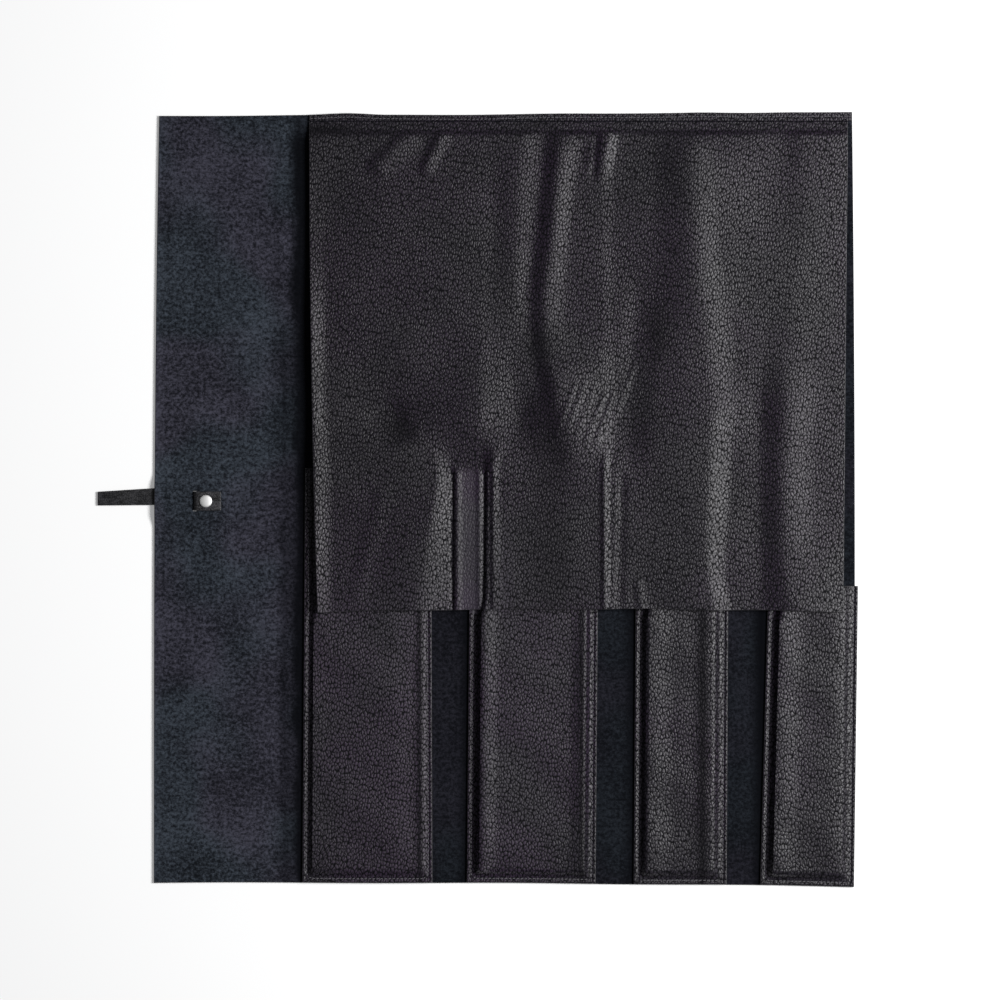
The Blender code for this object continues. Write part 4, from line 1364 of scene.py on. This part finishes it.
@dataclass
class Flap:
    """The cover flap, sewn along the top, in three pieces cut where the roll folds."""

    finishes: Finishes
    stitching: Stitching
    seams: tuple[float, ...] = tuple(pocket.middle for pocket in POCKETS[1:3])
    finer: tuple[tuple[float, float, float], ...] = (
        (-34.0, -13.0, 0.8), (-13.0, 14.0, 0.75), (79.0, 101.0, 0.75), (164.0, 183.2, 0.8))
    hem_rows: tuple[float, ...] = (
        0, 0.05, 0.16, 0.32, 0.5, 0.64, 1.1, 1.6, 2.1, 2.6, 3.1, 3.6, 4.1, 4.5, 4.66, 4.84, 4.95, 5)
    hem_margin: float = 0.15
    hem_groove: float = 0.22
    hem_pucker: float = 0.12
    seam_inset: float = 2.6
    first_seed: int = 20

    def build(self) -> list[Piece]:
        """The flap, its hem and the hem's stitches."""
        return self.cover() + self.hem()

    def ends(self) -> list[tuple[float, float, float, float]]:
        """Each piece's left and right sides and the span that bends."""
        cuts = [FLAP_LEFT, *self.seams, FLAP_RIGHT]
        return [(low, high, *span) for low, high, span in zip(cuts, cuts[1:], FOLD_SPANS)]

    def cover(self) -> list[Piece]:
        """Make the flap's three pieces.

        Returns:
            The pieces.
        """
        pieces = []
        replaced = [("flap_panel_1", "flap_panel_2"), ("flap_panel_3",), ("flap_panel_4",)]
        for k, (low, high, start, end) in enumerate(self.ends()):
            sides = piece_sides(k, len(replaced), upper=Side.CREASE)
            piece = Sheet(
                name=f"flap_leather_{k + 1}", left=flap_left if low == FLAP_LEFT else constant(low),
                right=flap_right if high == FLAP_RIGHT else constant(high), lower=flap_bottom,
                upper=constant(CREASE - CLEARANCE / 2), under=LIE.flap, thickness=SKIN_THICKNESS,
                columns=spread(low, high, 1.7, self.finer, *sides[:2]), sides=sides,
                rows=spread(FLAP_BOTTOM, CREASE, 1.9, [(12, 24, 0.8)]), skin=self.finishes.cover_skin).build()
            f"flap_{k + 1}"
            f"flap_{k + 2}"
            start * MM
            end * MM
            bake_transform(piece)
            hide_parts(*replaced[k])
            (high - low) * MM
            f"pocket_leather_{k + 1}"
            f"pocket_leather_{k + 2}"
            pieces.append(piece)
        return pieces

    def hem_top(self, x: Array) -> Array:
        """The hem's upper edge at x."""
        return base_top(x) - self.hem_margin + top_wave(x) * 0.4

    def hem_under(self, x: Array, y: Array) -> Array:
        """The hem's under face, puckered by its edge and pressed down along its stitches.

        Args:
            x: the places' X.
            y: the places' Y.

        Returns:
            The height at each place.
        """
        inset = self.hem_top(x) - y
        pucker = self.hem_pucker * np.sin(x / 1.7) * bell(inset / 2.2)
        return SEWN + pucker - self.hem_groove * bell(inset - self.seam_inset)

    def hem(self) -> list[Piece]:
        """Make the strip that is sewn to the base and its stitches.

        Returns:
            The pieces.
        """
        pieces = []
        replaced = [("flap_hem_1", "flap_hem_2"), ("flap_hem_3",), ("flap_hem_4",)]
        for k, (low, high, start, end) in enumerate(self.ends()):
            sides = piece_sides(k, len(replaced), lower=Side.CREASE)
            strip = Sheet(
                name=f"hem_leather_{k + 1}", left=constant(low), right=constant(high),
                lower=constant(CREASE + CLEARANCE / 2), upper=self.hem_top,
                columns=spread(low, high, 1.3, (), *sides[:2]), rows=np.array(self.hem_rows),
                under=self.hem_under, thickness=SKIN_THICKNESS, sides=sides,
                skin=self.finishes.cover_skin).build()
            before, after = (self.stitching.pitch / (2 if side is Side.CUT else 4) for side in sides[:2])
            x = np.linspace(low + before, high - after, 200)
            y = self.hem_top(x) - self.seam_inset
            line = np.column_stack([x, y, self.hem_under(x, y) + SKIN_THICKNESS + THREAD_LIFT])
            stitches = self.stitching.sew(f"hem_stitches_{k + 1}", line, self.first_seed + k)
            for piece, slot in ((strip, "pebbled_leather"), (stitches, "thread")):
                f"panel_{k + 1}"
                f"panel_{k + 2}"
                start * MM
                end * MM
                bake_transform(piece)
                pieces.append(piece)
            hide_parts(*replaced[k])
        return pieces


@dataclass
class Strap:
    """The strap from its riveted tab, down through the slot and out under the base to its tip."""

    finishes: Finishes
    thickness: float = 1.8
    tip: float = -247.4
    bend: float = 1.3
    tab_height: float = 5.1
    low_height: float = 0.9
    widths: tuple[float, float, float] = (9.0, 11.0, 12.5)
    drifts: tuple[float, float, float] = (1.6, 2.9, 0.0)
    corner: float = 0.5
    crown: float = 0.10
    sag: float = 0.10
    end_steps: tuple[float, ...] = (0.0, 0.08, 0.22, 0.4)
    end_shrink: float = 0.35
    aim_reach: float = 0.3
    swing_span: Point = (-209.6, -214.6)

    def route(self) -> Array:
        """The strap's middle line, from the tab's end to the tip.

        Returns:
            The line's (x, height) points.
        """
        turn = np.linspace(0, math.pi / 2, 9)
        ahead, aside = self.bend * (1 - np.sin(turn)), self.bend * (1 - np.cos(turn))
        parts = (
            (np.linspace(TAB_END, SLOT_X + self.bend + 1, 12), self.tab_height),
            (SLOT_X + ahead, self.tab_height - aside),
            (SLOT_X - aside, self.low_height + ahead),
            (np.linspace(SLOT_X - self.bend - 1, LEFT + 1, 16), self.low_height),
            (np.linspace(LEFT, self.tip, 40), self.low_height),
        )
        return np.concatenate([np.column_stack(np.broadcast_arrays(*part)) for part in parts])

    def by_x(self, x: float, sizes: tuple[float, float, float]) -> float:
        """A size at x that is given at the tip, at the base's edge and at the slot."""
        return float(np.interp(x, (self.tip, LEFT, SLOT_X), sizes))

    def profile(self, half: float, shrink: float) -> list[Point]:
        """The strap's cross-section.

        Args:
            half: half its width.
            shrink: how far it draws in all round, where its end is rounded.

        Returns:
            Its (across, up) points, anticlockwise.
        """
        wide, tall, bend = half - shrink, self.thickness / 2 - shrink * 0.8, self.corner * (1 - shrink)
        points = []
        for turn, (across_to, up_to) in enumerate(((1, 1), (-1, 1), (-1, -1), (1, -1))):
            for angle in np.linspace(turn, turn + 1, 4) * math.pi / 2:
                points.append((across_to * (wide - bend) + bend * math.cos(angle),
                               up_to * (tall - bend) + bend * math.sin(angle)))
            if turn in (0, 2):
                points += [(across_to * (wide - bend) * (1 - k / 3), up_to * tall) for k in range(1, 6)]
        return points

    def rings(self) -> tuple[Array, Array]:
        """The strap's cross-sections along its route.

        Returns:
            The rings' points and each point's place on the flat strap, in millimetres, one row for each ring.
        """
        route = self.route()
        lengths = np.concatenate([[0], np.cumsum(np.hypot(*np.diff(route, axis=0).T))])
        steps, end_run = np.array(self.end_steps), self.end_steps[-1]
        rings, flat = [], []
        for at in np.unique(np.concatenate([steps, lengths[1:-1], lengths[-1] - steps])):
            places = [at, at + self.aim_reach, at - self.aim_reach]
            (x, z), ahead, behind = np.array([np.interp(places, lengths, line) for line in route.T]).T
            run = (ahead - behind) / np.linalg.norm(ahead - behind)
            gone = max(1 - min(at, lengths[-1] - at) / end_run, 0)
            sag = self.sag * math.sin(at / 5.1) * ease((LEFT - x) / 6)
            half, middle = self.by_x(x, self.widths) / 2, STRAP_Y + self.by_x(x, self.drifts)
            side, up = np.array(self.profile(half, self.end_shrink * (1 - math.sqrt(1 - gone ** 2)))).T
            up = up - np.where(up > 0, self.crown * (1 - (side / half) ** 2), 0)
            rings.append(np.column_stack([x + run[1] * up, middle + side, z - run[0] * up + sag]))
            flat.append(np.column_stack([np.full_like(side, at), side]))
        return np.array(rings), np.array(flat)

    def build(self) -> list[Piece]:
        """Make the strap and hide the model's parts that it replaces.

        Returns:
            The strap.
        """
        rings, flat = self.rings()
        index = np.arange(len(rings) * rings.shape[1]).reshape(rings.shape[:2])
        beside = np.roll(index, -1, axis=1)
        faces = np.stack([index[:-1], beside[:-1], beside[1:], index[1:]], -1).reshape(-1, 4).tolist()
        mesh = bpy.data.meshes.new("strap_leather")
        caps = [index[0, ::-1].tolist(), index[-1].tolist()]
        mesh.from_pydata((rings.reshape(-1, 3) * MM).tolist(), [], faces + caps)
        piece = add_piece(mesh, (self.finishes.strap, self.finishes.edge))
        for face in mesh.polygons:
            face.material_index = int(abs(face.normal.y) > 0.7 or face.index >= len(faces))
        bm = bmesh.new()
        bm.from_mesh(mesh)
        close(bm, mesh, 50)
        add_flat_map(mesh, flat.reshape(-1, 2) * MM)
        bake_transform(piece)
        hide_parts("strap_anchor", "strap_tail")
        return [piece]


def close(bm: bmesh.types.BMesh, mesh: bpy.types.Mesh, sharp: float) -> None:
    """Write a closed body to a mesh, with its faces turned outwards and smooth.

    Args:
        bm: the body, which is freed.
        mesh: the mesh.
        sharp: the least angle between faces that keeps its edge in smooth shading, in degrees.
    """
    bmesh.ops.recalc_face_normals(bm, faces=bm.faces[:])
    bm.to_mesh(mesh)
    bm.free()
    smooth(mesh, sharp)


@dataclass
class Rivet:
    """The rivet that holds the strap: a domed cap above and a post with its disc below."""

    finishes: Finishes
    x: float = -176.6
    steps: int = 72
    seat: float = 6.3
    radius: float = 4.0
    rim: float = 0.6
    dome: float = 0.6
    bore: float = 1.5
    bore_depth: float = 1.0
    shank: float = 1.2
    shank_reach: float = 0.7
    disc_top: float = 1.8
    disc_depth: float = 0.8

    def cap(self) -> list[Point]:
        """The cap's profile: its dome, its rounded rim and its bore.

        Returns:
            Its (radius, height) points, both ends on the axis.
        """
        radius, seat, brim = self.radius, self.seat, self.seat + self.rim
        turns = np.linspace(0, math.pi / 2, 12)
        dome = [(radius * 0.94 * math.sin(turn), brim + self.dome * math.cos(turn)) for turn in turns]
        rim = [(radius * 0.955, brim - 0.06), (radius * 0.985, brim - 0.10), (radius, brim - 0.20),
               (radius, seat + 0.15), (radius - 0.12, seat)]
        bore = [(self.bore, seat), (self.bore, seat + self.bore_depth), (0, seat + self.bore_depth)]
        return dome + rim + bore

    def post(self) -> list[Point]:
        """The post's profile: its shank and its back disc.

        Returns:
            Its (radius, height) points, both ends on the axis.
        """
        radius, shank, top, disc = self.radius, self.shank, self.seat + self.shank_reach, self.disc_top
        back = disc - self.disc_depth
        return [(0, top), (shank - 0.1, top), (shank, top - 0.1), (shank, disc), (radius - 0.15, disc),
                (radius, disc - 0.15), (radius, back + 0.2), (radius - 0.2, back), (0, back)]

    def turned(self, name: str, profile: list[Point]) -> Piece:
        """Turn a profile about the rivet's upright axis and hang the piece on the base's end.

        Args:
            name: the piece's name.
            profile: (radius, height) points, both ends on the axis, in millimetres.

        Returns:
            The piece.
        """
        bm = bmesh.new()
        rings = []
        for radius, height in profile:
            turns = [2 * math.pi * k / self.steps for k in range(self.steps if radius else 1)]
            places = [(self.x + radius * math.cos(t), STRAP_Y + radius * math.sin(t), height) for t in turns]
            ring = [bm.verts.new(Vector(place) * MM) for place in places]
            rings.append(ring * (self.steps // len(ring)))
        for above, below in zip(rings, rings[1:]):
            for k in range(self.steps):
                after = (k + 1) % self.steps
                bm.faces.new(list(dict.fromkeys((above[k], below[k], below[after], above[after]))))
        mesh = bpy.data.meshes.new(name)
        piece = add_piece(mesh, (self.finishes.nickel,))
        close(bm, mesh, 40)
        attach(piece, "closure")
        return piece

    def build(self) -> list[Piece]:
        """Make the cap and the post.

        Returns:
            The two pieces.
        """
        pieces = [self.turned("rivet_dome", self.cap()), self.turned("rivet_back", self.post())]
        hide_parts("rivet_cap")
        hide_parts("rivet_post")
        return pieces


# ---- Floor, lamp and camera


@dataclass
class Studio:
    """A white floor, a soft lamp from the upper right, even surroundings and a camera straight above.

    The floor and the lamp are given in metres.
    """

    centre: Point = (14.5, -0.4)
    lens: float = 150.0
    sensor: float = 36.0
    view_width: float = 650.0
    sight_height: float = 5.0
    floor_half: float = 6.0
    floor_height: float = -0.15 * MM
    floor_white: float = 0.90
    floor_glow: float = 0.24
    lamp_place: tuple[float, float, float] = (1.42, 0.16, 1.62)
    lamp_side: float = 0.8
    lamp_watts: float = 56.0
    sky: Colour = (0.96, 0.97, 1.0)
    sky_strength: float = 0.12

    def build(self) -> None:
        """Set up the whole studio."""
        for part in (self.floor, self.lamp, self.surroundings, self.camera):
            part()
        bpy.context.scene.view_settings.view_transform = "Standard"

    def floor(self) -> None:
        """Lay the floor, which the camera sees as white and which keeps the roll's shadow."""
        graph = Graph("floor_paper")
        path = graph.node("ShaderNodeLightPath").outputs
        seen = path["Is Camera Ray"]
        for ray in ("Is Glossy Ray", "Is Transmission Ray"):
            seen = graph.output("ShaderNodeMath", {0: seen, 1: path[ray]}, operation="MAXIMUM")
        paper = graph.finished(graph.surface({
            "Base Color": (*(self.floor_white,) * 3, 1), "Roughness": 1.0, "Specular IOR Level": 0.0,
            "Emission Color": graph.mixed(seen, (0.0, 0.0, 0.0), (1.0, 1.0, 1.0)),
            "Emission Strength": self.floor_glow,
        }))
        mesh = bpy.data.meshes.new("floor")
        half, low = self.floor_half, self.floor_height
        mesh.from_pydata([(-half, -half, low), (half, -half, low), (half, half, low), (-half, half, low)], [],
                         [(0, 1, 2, 3)])
        add_piece(mesh, (paper,))

    def lamp(self) -> None:
        """Hang a square soft lamp that points at the roll."""
        light = bpy.data.lights.new("key_lamp", "AREA")
        light.shape, light.size, light.energy = "SQUARE", self.lamp_side, self.lamp_watts
        lamp = bpy.data.objects.new("key_lamp", light)
        lamp.location = self.lamp_place
        aim = Vector((*self.centre, 0)) * MM - lamp.location
        lamp.rotation_euler = aim.to_track_quat("-Z", "Y").to_euler()
        bpy.context.scene.collection.objects.link(lamp)

    def surroundings(self) -> None:
        """Light the surroundings evenly."""
        world = bpy.data.worlds.new("surroundings")
        world.use_nodes = True
        inputs = world.node_tree.nodes["Background"].inputs
        inputs["Color"].default_value = (*self.sky, 1.0)
        inputs["Strength"].default_value = self.sky_strength
        bpy.context.scene.world = world

    def camera(self) -> None:
        """Stand the camera straight above the roll."""
        data = bpy.data.cameras.new("camera")
        data.lens, data.sensor_width = self.lens, self.sensor
        camera = bpy.data.objects.new("camera", data)
        distance = self.view_width * self.lens / self.sensor + self.sight_height
        camera.location = Vector((*self.centre, distance)) * MM
        bpy.context.scene.collection.objects.link(camera)
        bpy.context.scene.camera = camera


def main() -> None:
    """Build the roll from its base upwards and report each piece's face count."""
    logging.basicConfig(level=logging.INFO, format="%(message)s")
    finishes = Finishes()
    stitching = Stitching(finishes.thread)
    Studio().build()
    for assembly in (Base(finishes), Pockets(finishes, stitching), Flap(finishes, stitching), Strap(finishes),
                     Rivet(finishes)):
        for piece in assembly.build():
            LOG.info("%s: %d faces", piece.name, len(piece.data.polygons))


if __name__ == "__main__":
    main()
